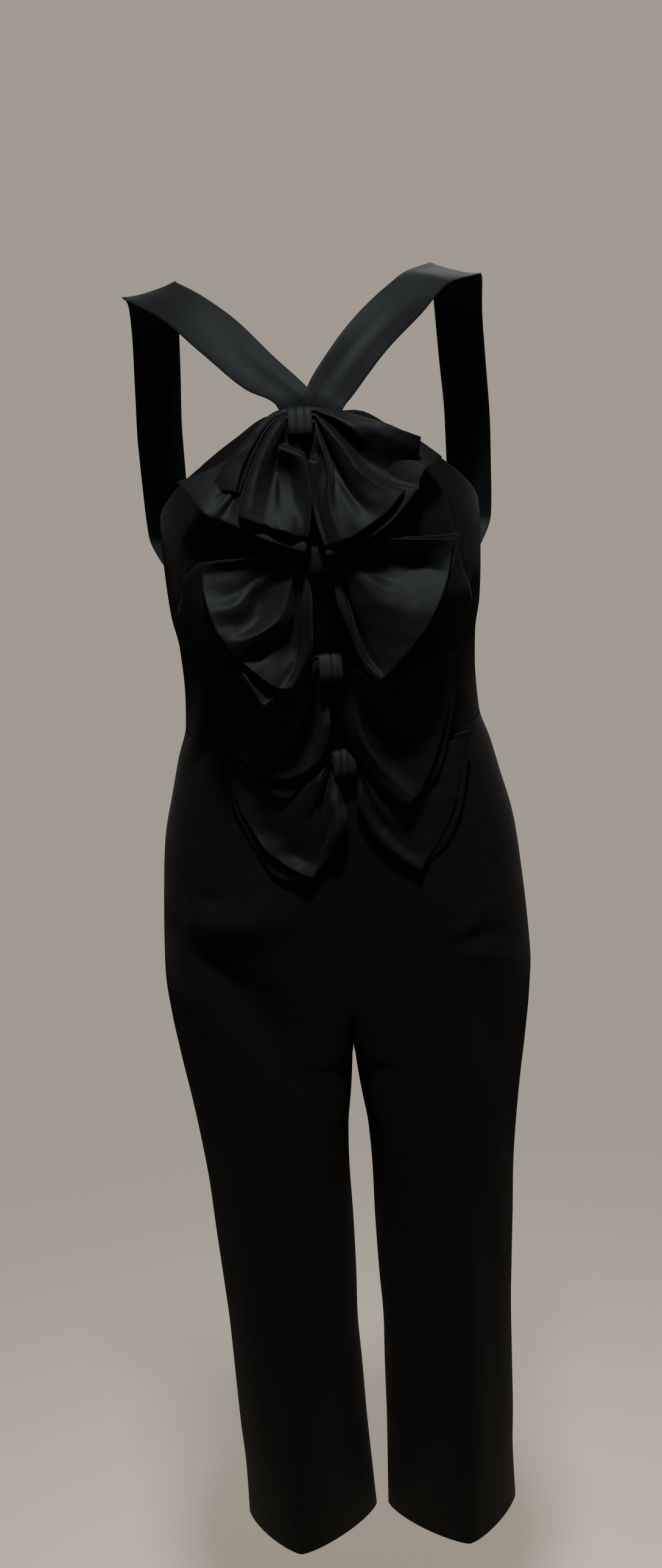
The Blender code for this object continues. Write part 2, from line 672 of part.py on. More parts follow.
def bow_middle(number, wings, knot_lift, folds):
    """Middle surface of one bow layer, from the left free end through the knot to the right."""
    knot = named(KNOT_COLUMNS, KNOTS[number - 1])
    across = np.linspace(0.0, 1.0, BOW_ACROSS + 1)[None, :]
    along = np.linspace(0.0, 1.0, WING_STEPS + 1)[:, None] ** 1.35
    start_lift = knot["lift"] + knot_lift
    parts = []
    for side, sign in SIDES.items():
        end_x, end_z, end_lift = wing_end(wings[number, side], across)
        start_x = sign * WING_START
        start_z = (0.5 - across) * GATHER_HEIGHT + sign * knot["tilt"] * WING_START
        tuck = named(TUCK_COLUMNS, TUCKS[number, side])
        swing = np.sin(np.pi * along ** (np.log(0.5) / np.log(tuck["place"]))) ** 1.3
        x = start_x + (end_x - start_x) * along - sign * tuck["amount"] * across ** 3 * swing
        z = start_z + (end_z - start_z) * along ** (1.0 - 0.35 * across ** 3)
        lift = start_lift + (end_lift - start_lift) * along ** 0.8
        if folds:
            lift = lift + fold_relief(folds[number, side], across, along)
        wing = np.stack([knot["x"] + x, lift, knot["z"] + z], axis=-1)
        parts.append(wing[::-1] if sign < 0.0 else wing)
    waist_share = np.linspace(0.0, 1.0, WAIST_STEPS + 1)[1:-1, None, None]
    waist = parts[0][-1] * (1.0 - waist_share) + parts[1][0] * waist_share
    points = np.concatenate([parts[0], waist, parts[1]])
    x, lift, height = points[..., 0], points[..., 1], points[..., 2]
    points[..., 1] = hang(x, height, lift)
    return points


def build_knot(number, satin):
    """Band round the gathered middle: a flat ring along X."""
    knot = named(KNOT_COLUMNS, KNOTS[number - 1])
    angle = np.linspace(0.0, 2.0 * np.pi, KNOT_AROUND, endpoint=False)[None, :]
    along = np.linspace(-0.5, 0.5, KNOT_ALONG + 1)[:, None]
    grids = []
    for inset in (0.0, KNOT_WALL):
        half_height = KNOT_HEIGHT / 2 - inset
        half_depth = KNOT_DEPTH / 2 - inset
        z = half_height * signed_power(np.sin(angle), 0.6)
        depth = KNOT_DEPTH / 2 + half_depth * signed_power(np.cos(angle), 0.6)
        x = np.broadcast_to(along * KNOT_WIDTH, (KNOT_ALONG + 1, KNOT_AROUND))
        height = knot["z"] + z + knot["tilt"] * x
        y = hang(knot["x"] + x, height, knot["lift"] + depth)
        grids.append(np.stack([knot["x"] + x, y, height], axis=-1))
    ring_solid(f"bow{number}_knot", *grids, satin)


def build_bows(satin):
    """Four bows, each a back layer and a front layer gathered by a knot band."""
    for number in range(1, len(KNOTS) + 1):
        back = bow_middle(number, WINGS_BACK, BACK_PIECE_LIFT, None)
        double_face(f"bow{number}_back_piece", back, SATIN_WALL, satin)
        front = bow_middle(number, WINGS_FRONT, FRONT_PIECE_LIFT, FOLDS)
        double_face(f"bow{number}_front_piece", front, SATIN_WALL, satin)
        build_knot(number, satin)


def build():
    """Clear the scene and build every piece."""
    for thing in list(bpy.data.objects):
        bpy.data.objects.remove(thing, do_unlink=True)
    crepe = make_material("crepe", (0.012, 0.012, 0.013), 0.75)
    satin = make_material("satin", (0.014, 0.015, 0.019), 0.38)
    build_bodice(crepe)
    build_trousers(crepe)
    build_straps(satin)
    build_bows(satin)


build()
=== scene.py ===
import math

import bpy
import numpy as np
from mathutils import Matrix, Vector


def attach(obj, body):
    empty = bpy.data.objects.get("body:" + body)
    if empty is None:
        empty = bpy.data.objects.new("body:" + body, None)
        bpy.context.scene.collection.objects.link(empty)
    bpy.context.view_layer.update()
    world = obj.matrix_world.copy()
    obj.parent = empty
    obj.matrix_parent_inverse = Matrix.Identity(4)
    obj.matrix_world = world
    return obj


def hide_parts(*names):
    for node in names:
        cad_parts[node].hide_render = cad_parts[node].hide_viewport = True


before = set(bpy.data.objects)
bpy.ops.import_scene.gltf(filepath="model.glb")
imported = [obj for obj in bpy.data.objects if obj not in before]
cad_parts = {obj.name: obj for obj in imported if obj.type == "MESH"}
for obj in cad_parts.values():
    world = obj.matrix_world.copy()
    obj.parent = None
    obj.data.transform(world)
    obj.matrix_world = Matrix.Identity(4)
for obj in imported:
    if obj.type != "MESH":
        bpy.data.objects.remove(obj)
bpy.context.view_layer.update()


# ---------------- room
# A plain pale floor that fades into a plain pale room. One lamp high in front lights what leans
# out and leaves the rest dark; two weak ones light the sides, and one the back.
FLOOR_HEIGHT = -1.45
FLOOR_RADIUS = 3.0
FLOOR_SIDES = 96
FLOOR_FADE = (0.15, 1.5)
ROOM_COLOUR = (0.410, 0.368, 0.305, 1.0)
ROOM_GLOW = (0.36, 0.36, 0.36, 1.0)
ROOM_LIGHT = 0.07

# Each lamp's place, target, side of its square, power and colour.
LAMPS = {
    "key_lamp": ((0.05, -1.06, 1.79), (0.0, -0.10, -0.35), 0.24, 67.0, (1.0, 0.98, 0.95)),
    "left_lamp": ((-1.7, -0.6, 0.3), (0.0, 0.0, -0.5), 1.0, 3.6, (1.0, 0.99, 0.96)),
    "right_lamp": ((1.7, -0.5, 0.2), (0.0, 0.0, -0.5), 1.0, 4.0, (1.0, 0.97, 0.92)),
    "back_lamp": ((0.5, 1.7, 1.3), (0.0, 0.0, -0.5), 1.2, 24.0, (1.0, 0.98, 0.95)),
}


def add_object(name, data):
    """A new object in the scene."""
    thing = bpy.data.objects.new(name, data)
    bpy.context.scene.collection.objects.link(thing)
    return thing


def set_inputs(node, values):
    """Set a node's own sockets."""
    for socket, value in dict(values).items():
        node.inputs[socket].default_value = value


def add_node(tree, kind, values=(), **settings):
    """A new shader node with its settings and the values of its sockets."""
    node = tree.nodes.new("ShaderNode" + kind)
    for name, value in settings.items():
        setattr(node, name, value)
    set_inputs(node, values)
    return node


def join(tree, *links):
    """Links from a node's output to another node's input, each given as those four."""
    for giver, output, taker, entry in links:
        tree.links.new(giver.outputs[output], taker.inputs[entry])


def add_material(name, values):
    """A new material, its node tree and its main shader with the values given."""
    material = bpy.data.materials.new(name)
    material.use_nodes = True
    shader = material.node_tree.nodes["Principled BSDF"]
    set_inputs(shader, values)
    return material, material.node_tree, shader


def make_room():
    """World colour: full for the eye, weak as a light, so that black cloth stays black."""
    world = bpy.data.worlds.new("room")
    bpy.context.scene.world = world
    world.use_nodes = True
    tree = world.node_tree
    tree.nodes.clear()
    seen = add_node(tree, "Background", {"Color": ROOM_COLOUR})
    lighting = add_node(tree, "Background", {"Color": ROOM_GLOW, "Strength": ROOM_LIGHT})
    path = add_node(tree, "LightPath")
    mix = add_node(tree, "MixShader")
    join(
        tree, (path, "Is Camera Ray", mix, "Fac"), (lighting, "Background", mix, 1),
        (seen, "Background", mix, 2), (mix, "Shader", add_node(tree, "OutputWorld"), "Surface"),
    )


def make_floor():
    """A disc whose paint thins out with the distance from its middle until the room shows."""
    turn = np.linspace(0.0, 2.0 * np.pi, FLOOR_SIDES, endpoint=False)
    height = np.full_like(turn, FLOOR_HEIGHT)
    rim = np.stack([FLOOR_RADIUS * np.cos(turn), FLOOR_RADIUS * np.sin(turn), height], axis=1)
    mesh = bpy.data.meshes.new("floor")
    mesh.from_pydata(rim.tolist(), [], [list(range(FLOOR_SIDES))])
    # The floor also glows faintly warm: painted light that brightens it, softens the shadows on it
    # and lights the cloth a little from below.
    paint, tree, shader = add_material("floor_paint", {
        "Base Color": (0.80, 0.69, 0.55, 1.0), "Roughness": 0.9,
        "Emission Color": (1.0, 0.86, 0.68, 1.0), "Emission Strength": 0.14,
    })
    coordinates = add_node(tree, "TexCoord")
    flatten = add_node(tree, "VectorMath", {1: (1.0, 1.0, 0.0)}, operation="MULTIPLY")
    distance = add_node(tree, "VectorMath", operation="LENGTH")
    fade = add_node(
        tree, "MapRange", zip(("From Min", "From Max"), FLOOR_FADE),
        interpolation_type="SMOOTHSTEP",
    )
    clear = add_node(tree, "BsdfTransparent")
    mix = add_node(tree, "MixShader")
    join(
        tree, (coordinates, "Object", flatten, 0), (flatten, "Vector", distance, 0),
        (distance, "Value", fade, "Value"), (fade, "Result", mix, "Fac"),
        (shader, "BSDF", mix, 1), (clear, "BSDF", mix, 2),
        (mix, "Shader", tree.nodes["Material Output"], "Surface"),
    )
    mesh.materials.append(paint)
    add_object("floor", mesh)


def make_lamp(name, place, target, size, power, colour):
    """A square soft lamp that looks at a target."""
    lamp = bpy.data.lights.new(name, "AREA")
    lamp.size, lamp.energy, lamp.color = size, power, colour
    holder = add_object(name, lamp)
    holder.location = place
    holder.rotation_euler = (Vector(target) - Vector(place)).to_track_quat("-Z", "Y").to_euler()


make_room()
make_floor()
for name, lamp in LAMPS.items():
    make_lamp(name, *lamp)


# ---------------- camera
# The camera stands at chest height in front of the figure. It looks a little down and leans
# slightly to one side.
EYE = (-0.005, -1.945, 0.145)
PITCH = math.radians(16.6)
ROLL = math.radians(3.7)
IMAGE_HEIGHT = 2576.0
FOCAL_PIXELS = 3800.0
SENSOR = 36.0
NEAREST_SEEN = 0.05


def make_camera():
    """A camera whose axes are turned down by the pitch and then round its view by the roll."""
    look = Vector((0.0, math.cos(PITCH), -math.sin(PITCH)))
    level = Vector((1.0, 0.0, 0.0))
    upright = level.cross(look)
    right = level * math.cos(ROLL) - upright * math.sin(ROLL)
    up = level * math.sin(ROLL) + upright * math.cos(ROLL)
    data = bpy.data.cameras.new("camera")
    data.sensor_width = SENSOR
    data.lens = SENSOR * FOCAL_PIXELS / IMAGE_HEIGHT
    data.clip_start = NEAREST_SEEN
    camera = add_object("camera", data)
    turned = Matrix((right, up, -look)).transposed().to_4x4()
    camera.matrix_world = Matrix.Translation(Vector(EYE)) @ turned
    bpy.context.scene.camera = camera


make_camera()


# ---------------- bodice
# Five panels of matt black crepe that fit the body: a wide centre front, two narrow side fronts
# and two backs. They are sewn edge to edge, so each seam is a fine sunk line between panels.
WAIST_HEIGHT = -0.3725
CREPE_WALL = 0.0011
SEAM_OVERLAP = 0.0005
RIM_STEPS = 3
BODICE_ROWS = 84
CENTRE_COLUMNS = 84
SIDE_COLUMNS = 18
BACK_COLUMNS = 48
GRID_ROUNDS = 12

# Shapes that come in pairs are worked out for the +X side, then turned to their own.
SIDES = {"left": np.array([-1.0, 1.0, 1.0]), "right": np.array([1.0, 1.0, 1.0])}

# Half of the figure's level sections, in thousandths: half_width is the side seam, front_x and
# back_x are where the section is farthest forward and back, inner_x is the inseam. point is the
# power of the section's curve: 1 an ellipse, less a fuller form, more a pointed one.
FIGURE_COLUMNS = (
    "height", "half_width", "side_y", "front", "back", "front_x", "back_x", "inner_x", "point",
)
FIGURE = (
    (-80, 118, 4, 101, 94, 30, 30, 0, 870),
    (-120, 125, 3, 112, 93, 30, 30, 0, 870),
    (-160, 131, 2, 121, 91, 30, 30, 0, 870),
    (-205, 135, 1, 127, 89, 30, 30, 0, 870),
    (-240, 134, 0, 126, 87, 30, 30, 0, 870),
    (-270, 132, 0, 119, 84, 30, 30, 0, 870),
    (-300, 127, 0, 109, 81, 30, 30, 0, 870),
    (-335, 125.5, 0, 100, 79, 30, 30, 0, 870),
    (-372.5, 127.5, 0, 94.5, 80, 30, 30, 0, 870),
    (-403, 136.5, 2, 96, 90, 34, 36, 0, 870),
    (-431, 143.5, 4, 99, 100, 38, 44, 0, 870),
    (-475, 154, 7, 101, 114, 44, 56, 0, 870),
    (-521, 159, 9, 102, 123, 52, 66, 0, 870),
    (-567, 162.5, 10, 98.5, 126, 60, 70, -0.3, 870),
    (-602, 164, 10, 94.5, 125, 66, 72, -0.3, 870),
    (-637, 161.5, 10, 92, 119, 70, 74, -0.3, 870),
    (-668, 157.5, 9, 91, 109, 73, 75, 0.3, 880),
    (-690, 154.5, 9, 91.2, 103, 74, 75, 1.8, 900),
    (-709, 151.5, 8, 91, 99, 75, 75, 3.6, 920),
    (-757, 145.5, 6, 89, 92, 76, 75, 9, 1000),
    (-807, 140.5, 4, 86, 87, 77, 74, 10.5, 1030),
    (-856, 138, 3, 83, 84, 77, 73, 10, 1060),
    (-907, 135, 2, 80, 82, 77, 72, 10.5, 1100),
    (-958, 132.5, 2, 78, 81, 77, 71, 12, 1140),
    (-1010, 131.5, 3, 76, 81, 77, 70, 10.5, 1200),
    (-1062, 130.5, 4, 74, 80, 78, 69, 9.5, 1280),
    (-1115, 128.5, 5, 72, 78, 78, 68, 7.5, 1380),
    (-1165, 129, 5, 70, 76, 79, 67, 5.5, 1500),
)

# Turn and height along the top edge, height and turn down the seam beside the centre front;
# turn goes 0 at the centre front, 2 at the side seam, 4 at the centre back.
TOP_EDGE = (
    (0.0, -0.096), (1.0, -0.096), (1.2, -0.113), (1.45, -0.1385), (1.64, -0.1575), (1.85, -0.179),
    (2.0, -0.192), (2.2, -0.208), (2.5, -0.226), (3.0, -0.238), (4.0, -0.241),
)
FRONT_SEAM = (
    (-0.138, 1.42), (-0.212, 1.54), (-0.24, 1.61), (-0.27, 1.73), (-0.295, 1.7),
    (-0.34, 1.5), (-0.3725, 1.44),
)

# Soft creases, each a curve seen from in front: x and z of its start, middle and end, then half
# its width and how far its middle stands out, or sinks in, below 0. All in millimetres.
CREASE_STEPS = 24
CREASE_REACH = 4
CREASE_TIP = 0.02
FADE_POWER = 0.7
BODICE_FRONT_CREASES = (
    (-110, -310, -98, -311, -84, -310, 1.2, -0.8),
    (81, -298, 92, -298, 105, -298, 1.2, -0.8),
    (-101, -312, -100, -338, -101, -366, 1.2, -0.6),
    (98, -299, 97, -330, 98, -362, 1.2, -0.6),
    (-120, -277, -117, -295, -108, -312, 5, -1.6),
    (112, -229, 124, -266, 103, -300, 5, -1.6),
    (-119, -252, -104, -268, -88, -262, 8, 1.6),
    (122, -236, 110, -252, 90, -250, 8, 1.4),
    (-108, -325, -104, -338, -110, -352, 6, 1.2),
    (105, -318, 101, -334, 108, -350, 6, 1.2),
    (-112, -196, -108, -226, -112, -256, 10, 1.2),
    (108, -186, 112, -212, 108, -240, 10, -1.2),
)
BODICE_BACK_CREASES = (
    (-88, -300, -50, -316, -12, -306, 9, 2),
    (-94, -330, -58, -344, -20, -336, 8, -1.6),
    (86, -308, 52, -322, 16, -318, 8.5, 1.8),
    (92, -338, 60, -350, 18, -348, 7.5, -1.6),
    (-72, -252, -70, -296, -74, -340, 1.3, -0.6),
    (72, -252, 70, -296, 74, -340, 1.3, -0.6),
)

# The fork is a rounded J at the front and the back, and the front of the thigh beside it is
# fuller. Creases fade out near the side seams and, below the fork's top, near the inseams.
CROTCH_HEIGHT = -0.668
FRONT_FORK_TOP = -0.590
BACK_FORK_TOP = -0.540
FORK_ROUNDNESS = 2.3
THIGH_FILL = 0.50
THIGH_FILL_BOTTOM = -0.900
LEG_MIDDLE = 0.072
SIDE_CALM = 0.006
INSEAM_CALM = 0.020
FORK_CALM = 0.02


def steady(at, knots, values):
    """Cubic through rows of values with no overshoot: a slope is its chords' harmonic mean."""
    at, knots, values = (np.asarray(each, dtype=float) for each in (at, knots, values))
    order = np.argsort(knots)
    knots, values = knots[order], values[order]
    widen = (..., *[None] * (values.ndim - 1))
    chord = np.diff(values, axis=0) / np.diff(knots)[widen]
    same_way = chord[:-1] * chord[1:] > 0.0
    mean = 2.0 * chord[:-1] * chord[1:] / np.where(same_way, chord[:-1] + chord[1:], 1.0)
    slope = np.concatenate([chord[:1], np.where(same_way, mean, 0.0), chord[-1:]])
    place = np.clip(np.searchsorted(knots, at) - 1, 0, len(knots) - 2)
    span = (knots[place + 1] - knots[place])[widen]
    t = np.clip((at - knots[place])[widen] / span, 0.0, 1.0)
    start = values[place] * (1.0 + 2.0 * t) * (1.0 - t) ** 2
    start += slope[place] * span * t * (1.0 - t) ** 2
    finish = values[place + 1] * t ** 2 * (3.0 - 2.0 * t)
    finish += slope[place + 1] * span * t ** 2 * (t - 1.0)
    return start + finish


def figure(name, height):
    """A column of the figure's table at any height."""
    table = dict(zip(FIGURE_COLUMNS, np.array(FIGURE).T / 1000.0))
    return steady(height, table["height"], table[name])


def signed_power(value, exponent):
    """A power that keeps the value's sign, for rounded corners."""
    return np.sign(value) * np.abs(value) ** exponent


def fork(height, top):
    """1 above the fork, falling to 0 at the crotch along a rounded J, which is the seam's line."""
    fall = np.clip((top - height) / (top - CROTCH_HEIGHT), 0.0, 1.0)
    return (1.0 - fall ** FORK_ROUNDNESS) ** (1.0 / FORK_ROUNDNESS)


def thigh_fill(height):
    """How much fuller the front is beside the fork: most at the crotch, fading up and down."""
    above = (FRONT_FORK_TOP - height) / (FRONT_FORK_TOP - CROTCH_HEIGHT)
    below = (height - THIGH_FILL_BOTTOM) / (CROTCH_HEIGHT - THIGH_FILL_BOTTOM)
    share = np.clip(np.minimum(above, below), 0.0, 1.0)
    return THIGH_FILL * share ** 2 * (3.0 - 2.0 * share)


def body_point(turn, height):
    """Surface of the garment's +X half over turn and height.

    turn runs from 0 at the centre front or inseam by 1, farthest forward, 2, the side seam, and
    3, farthest back, to 4. Each stretch of a level section is a quarter of an oval.
    """
    turn, height = np.broadcast_arrays(np.asarray(turn, float), np.asarray(height, float))
    behind = turn > 2.0
    quarter = np.where(behind, 4.0 - turn, turn)
    half_width, side_y, inner_x, point = (
        figure(name, height) for name in ("half_width", "side_y", "inner_x", "point")
    )
    reach = np.where(behind, figure("back", height), -figure("front", height))
    reach_x = np.where(behind, figure("back_x", height), figure("front_x", height))
    fork_left = np.where(behind, fork(height, BACK_FORK_TOP), fork(height, FRONT_FORK_TOP))
    inner_y = side_y + (reach - side_y) * fork_left
    inner_angle = np.clip(quarter, 0.0, 1.0) * np.pi / 2
    outer_angle = np.clip(quarter - 1.0, 0.0, 1.0) * np.pi / 2
    inner_point = np.maximum(point, 1.0) - np.where(behind, 0.0, thigh_fill(height))
    inner_part_x = reach_x - (reach_x - inner_x) * np.cos(inner_angle) ** inner_point
    inner_part_y = inner_y + (reach - inner_y) * np.sin(inner_angle) ** inner_point
    outer_part_x = reach_x + (half_width - reach_x) * signed_power(np.sin(outer_angle), point)
    outer_part_y = side_y + (reach - side_y) * signed_power(np.cos(outer_angle), point)
    x = np.where(quarter < 1.0, inner_part_x, outer_part_x)
    y = np.where(quarter < 1.0, inner_part_y, outer_part_y)
    return np.stack([x, y, height], axis=-1)


def unit(vectors):
    """Vectors at length one."""
    return vectors / np.maximum(np.linalg.norm(vectors, axis=-1, keepdims=True), 1e-12)


def normals(points):
    """Unit normals of a grid: the cross product of its two directions."""
    return unit(np.cross(np.gradient(points, axis=0), np.gradient(points, axis=1)))


def facing(points, away_from):
    """Unit normals of a grid, turned away from a place."""
    normal = normals(points)
    return normal * np.sign(np.sum(normal * (points - away_from)))


def crease_relief(points, creases):
    """Relief of creases: a bell across each curve that fades in and out along it.

    The distance is measured, seen from in front, to the nearest of the curve's short chords.
    """
    relief = np.zeros(points.shape[:2])
    flat = points[..., (0, 2)]
    share = np.linspace(0.0, 1.0, CREASE_STEPS + 1)[:, None]
    for *places, width, height in np.array(creases) / 1000.0:
        start, middle, end = np.reshape(places, (3, 2))
        line = start * (1 - share) ** 2 + (2 * middle - (start + end) / 2) * 2 * share * (1 - share)
        line = line + end * share ** 2
        low, high = line.min(axis=0) - CREASE_REACH * width, line.max(axis=0) + CREASE_REACH * width
        near = np.all((flat > low) & (flat < high), axis=-1)
        if not near.any():
            continue
        place = flat[near][:, None, :]
        chord = line[1:] - line[:-1]
        along = np.sum((place - line[:-1]) * chord, axis=-1) / np.sum(chord ** 2, axis=-1)
        along = np.clip(along, 0.0, 1.0)
        gap = np.linalg.norm(place - line[:-1] - along[..., None] * chord, axis=-1)
        nearest = np.argmin(gap, axis=1)
        rank = np.arange(len(nearest))
        way = (nearest + along[rank, nearest]) / CREASE_STEPS
        bell = np.exp(-(gap[rank, nearest] / width) ** 2)
        fade = np.sin(np.pi * np.clip(way, CREASE_TIP, 1.0 - CREASE_TIP)) ** FADE_POWER
        relief[near] += height * bell * fade
    return relief


def seam_calm(points):
    """1 on open cloth, falling to 0 at the side seams and the inseams, so that panels meet."""
    x, height = np.abs(points[..., 0]), points[..., 2]
    from_side = np.clip((figure("half_width", height) - x) / SIDE_CALM, 0.0, 1.0)
    from_inseam = np.clip((x - figure("inner_x", height)) / INSEAM_CALM, 0.0, 1.0)
    below_fork = np.clip((FRONT_FORK_TOP + FORK_CALM / 2 - height) / FORK_CALM, 0.0, 1.0)
    return from_side ** FADE_POWER * (1.0 - below_fork * (1.0 - from_inseam))


def way_along(points):
    """Distance along the first axis of a line or grid of points."""
    steps = np.linalg.norm(np.diff(points, axis=0, prepend=points[:1]), axis=-1)
    return steps.cumsum(axis=0)


def drawn_in(points, amount):
    """Slide a grid's points along its lines so that each ends earlier by an amount, both ways.

    That makes room for a rounded edge, also where the grid's columns lie closer than the amount.
    """
    for axis in (0, 1):
        lines = np.moveaxis(points, axis, 0)
        place = way_along(lines)
        wanted = amount + place * (1.0 - 2.0 * amount / place[-1])
        moved = np.empty_like(lines)
        for line, part in np.ndindex(lines.shape[1:]):
            moved[:, line, part] = np.interp(
                wanted[:, line], place[:, line], lines[:, line, part]
            )
        points = np.moveaxis(moved, 0, axis)
    return points


def edge_rows(centre, normal, out, wall):
    """Rows of points of a half-round edge, swept by half a circle as wide as the wall."""
    turns = np.pi * np.arange(1, RIM_STEPS + 1) / (RIM_STEPS + 1)
    return [centre + (normal * np.cos(turn) + out * np.sin(turn)) * wall / 2 for turn in turns]


def cloth_object(name, vertices, faces, outer_normals, chart, material):
    """A smooth object of quads; its first faces are turned to face along their outer normals.

    The chart is its UV map, distances on the cloth in metres.
    """
    first = vertices[faces[:len(outer_normals)]]
    turned = np.cross(first[:, 1] - first[:, 0], first[:, 3] - first[:, 0])
    if np.sum(turned * outer_normals) < 0.0:
        faces = faces[:, ::-1]
    mesh = bpy.data.meshes.new(name)
    mesh.from_pydata(vertices.tolist(), [], faces.tolist())
    corners = chart[faces.ravel()].astype(np.float32)
    mesh.uv_layers.new(name="cloth").data.foreach_set("uv", corners.ravel())
    mesh.shade_smooth()
    mesh.materials.append(material)
    return add_object(name, mesh)


def cloth_shell(name, outer, normal, wall, material):
    """A closed thin wall of cloth under a grid of points, with a half-round edge all round.

    The inner face is the outer one moved in along its normals.
    """
    rows, columns = outer.shape[:2]
    count = rows * columns
    ids = np.arange(count).reshape(rows, columns)
    ring = np.concatenate([ids[0, :-1], ids[:-1, -1], ids[-1, :0:-1], ids[:0:-1, 0]])
    inward = ids[np.clip(ring // columns, 1, rows - 2), np.clip(ring % columns, 1, columns - 2)]
    flat_outer, flat_normal = outer.reshape(-1, 3), normal.reshape(-1, 3)
    edge_normal = flat_normal[ring]
    out = flat_outer[ring] - flat_outer[inward]
    out = unit(out - edge_normal * np.sum(out * edge_normal, axis=1, keepdims=True))
    edge = edge_rows(flat_outer[ring] - edge_normal * wall / 2, edge_normal, out, wall)
    vertices = np.concatenate([flat_outer, flat_outer - flat_normal * wall, *edge])

    quads = np.stack([ids[:-1, :-1], ids[:-1, 1:], ids[1:, 1:], ids[1:, :-1]], axis=-1)
    quads = quads.reshape(-1, 4)
    faces = [quads, quads[:, ::-1] + count]
    rims = 2 * count + np.arange(RIM_STEPS * len(ring)).reshape(RIM_STEPS, -1)
    loops = [ring, *rims, ring + count]
    for here, there in zip(loops[:-1], loops[1:]):
        faces.append(np.stack([np.roll(here, -1), here, there, np.roll(there, -1)], axis=-1))

    across = way_along(outer.swapaxes(0, 1)).T
    spread = np.stack([across - across[:, -1:] / 2, way_along(outer)], axis=-1).reshape(-1, 2)
    chart = np.concatenate([spread, spread] + [spread[ring]] * RIM_STEPS)
    outer_normals = flat_normal[quads[:, 0]]
    return cloth_object(name, vertices, np.concatenate(faces), outer_normals, chart, material)


def own(piece, node, slot_name, **cut):
    """The piece stands for its solid, which it hides, and rides on the garment's one body."""
    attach(piece, "root")
    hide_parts(node)


def add_tone(tree, shader, coordinates, scale, dark, light):
    """Faint patches of wear between two tones, as the cloth's colour. Gives the patches' node."""
    patches = add_node(tree, "TexNoise", {"Scale": scale, "Detail": 3.0})
    tone = add_node(tree, "Mix", {"A": (*dark, 1.0), "B": (*light, 1.0)}, data_type="RGBA")
    join(
        tree, (coordinates, "Object", patches, "Vector"), (patches, "Fac", tone, "Factor"),
        (tone, "Result", shader, "Base Color"),
    )
    return patches


def add_relief(tree, shader, coarse, fine, strength, depth):
    """Two textures added up, as the cloth's bump."""
    both = add_node(tree, "Math", operation="ADD")
    bump = add_node(tree, "Bump", {"Strength": strength, "Distance": depth})
    join(
        tree, (coarse, "Fac", both, 0), (fine, "Fac", both, 1), (both, "Value", bump, "Height"),
        (bump, "Normal", shader, "Normal"),
    )


def make_crepe():
    """Matt black crepe: a pebbled surface, a little fluff, and faint patches of wear."""
    crepe, tree, shader = add_material("black_crepe", {
        "Roughness": 0.78, "Specular IOR Level": 0.08, "Sheen Weight": 0.05,
        "Sheen Roughness": 0.45, "Sheen Tint": (0.55, 0.52, 0.50, 1.0),
    })
    coordinates = add_node(tree, "TexCoord")
    pebbles = add_node(tree, "TexNoise", {"Scale": 1100.0, "Detail": 2.0})
    slubs = add_node(tree, "TexNoise", {"Scale": 260.0, "Detail": 2.0})
    for texture in (pebbles, slubs):
        join(tree, (coordinates, "Object", texture, "Vector"))
    add_tone(tree, shader, coordinates, 14.0, (0.0040, 0.0047, 0.0043), (0.0062, 0.0070, 0.0064))
    add_relief(tree, shader, pebbles, slubs, 0.55, 0.0003)
    return crepe


def front_seam(height):
    """Turn of the seam between the centre front and the +X side front."""
    return steady(height, *zip(*FRONT_SEAM))


def top_edge(turn):
    """Height of the bodice's top edge."""
    return steady(turn, *zip(*TOP_EDGE))


def constant(turn):
    """A seam that stays at one turn, as a function of height."""
    return lambda height: np.full_like(height, turn)


def bodice_grid(first_turn, last_turn, columns):
    """Grid between two seams, each a function of height, from the top edge down to the waist.

    The top edge's height hangs on the turn and the turn on the height, so they settle in rounds.
    """
    share = np.linspace(0.0, 1.0, columns + 1)[None, :]
    drop = np.linspace(0.0, 1.0, BODICE_ROWS + 1)[:, None]
    height = np.full((BODICE_ROWS + 1, columns + 1), WAIST_HEIGHT)
    for _ in range(GRID_ROUNDS):
        turn = first_turn(height) * (1.0 - share) + last_turn(height) * share
        height = top_edge(np.abs(turn[:1])) * (1.0 - drop) + WAIST_HEIGHT * drop
    points = body_point(np.abs(turn), height)
    points[..., 0] *= np.where(turn < 0.0, -1.0, 1.0)
    return points


def crepe_panel(name, points, creases, flat, area, rests_on):
    """One crepe panel over its solid: creases raised along the normals, then given a wall."""
    middle = points.mean(axis=(0, 1)) * np.array([1.0, 0.0, 1.0])
    if "trouser" in name:
        middle[0] = math.copysign(LEG_MIDDLE, middle[0])
    relief = crease_relief(points, creases) * seam_calm(points)
    points = points + facing(points, middle) * relief[..., None]
    points = drawn_in(points, (CREPE_WALL - SEAM_OVERLAP) / 2)
    panel = cloth_shell(f"{name}_crepe", points, facing(points, middle), CREPE_WALL, crepe)
    own(panel, name, "crepe", flat=flat, area=area, held="stretched", rests_on=rests_on)


crepe = make_crepe()
crepe_panel(
    "bodice_centre_front",
    bodice_grid(lambda height: -front_seam(height), front_seam, CENTRE_COLUMNS),
    BODICE_FRONT_CREASES, (0.29, 0.285), 0.0632, ["strap_left", "strap_right"],
)
for side, flip in SIDES.items():
    crepe_panel(
        f"bodice_side_front_{side}",
        bodice_grid(front_seam, constant(2.0), SIDE_COLUMNS) * flip,
        BODICE_FRONT_CREASES, (0.095, 0.245), 0.0153, ["bodice_centre_front"],
    )
    crepe_panel(
        f"bodice_back_{side}",
        bodice_grid(constant(2.0), constant(4.0), BACK_COLUMNS) * flip,
        BODICE_BACK_CREASES, (0.175, 0.182), 0.0257, [f"strap_{side}"],
    )


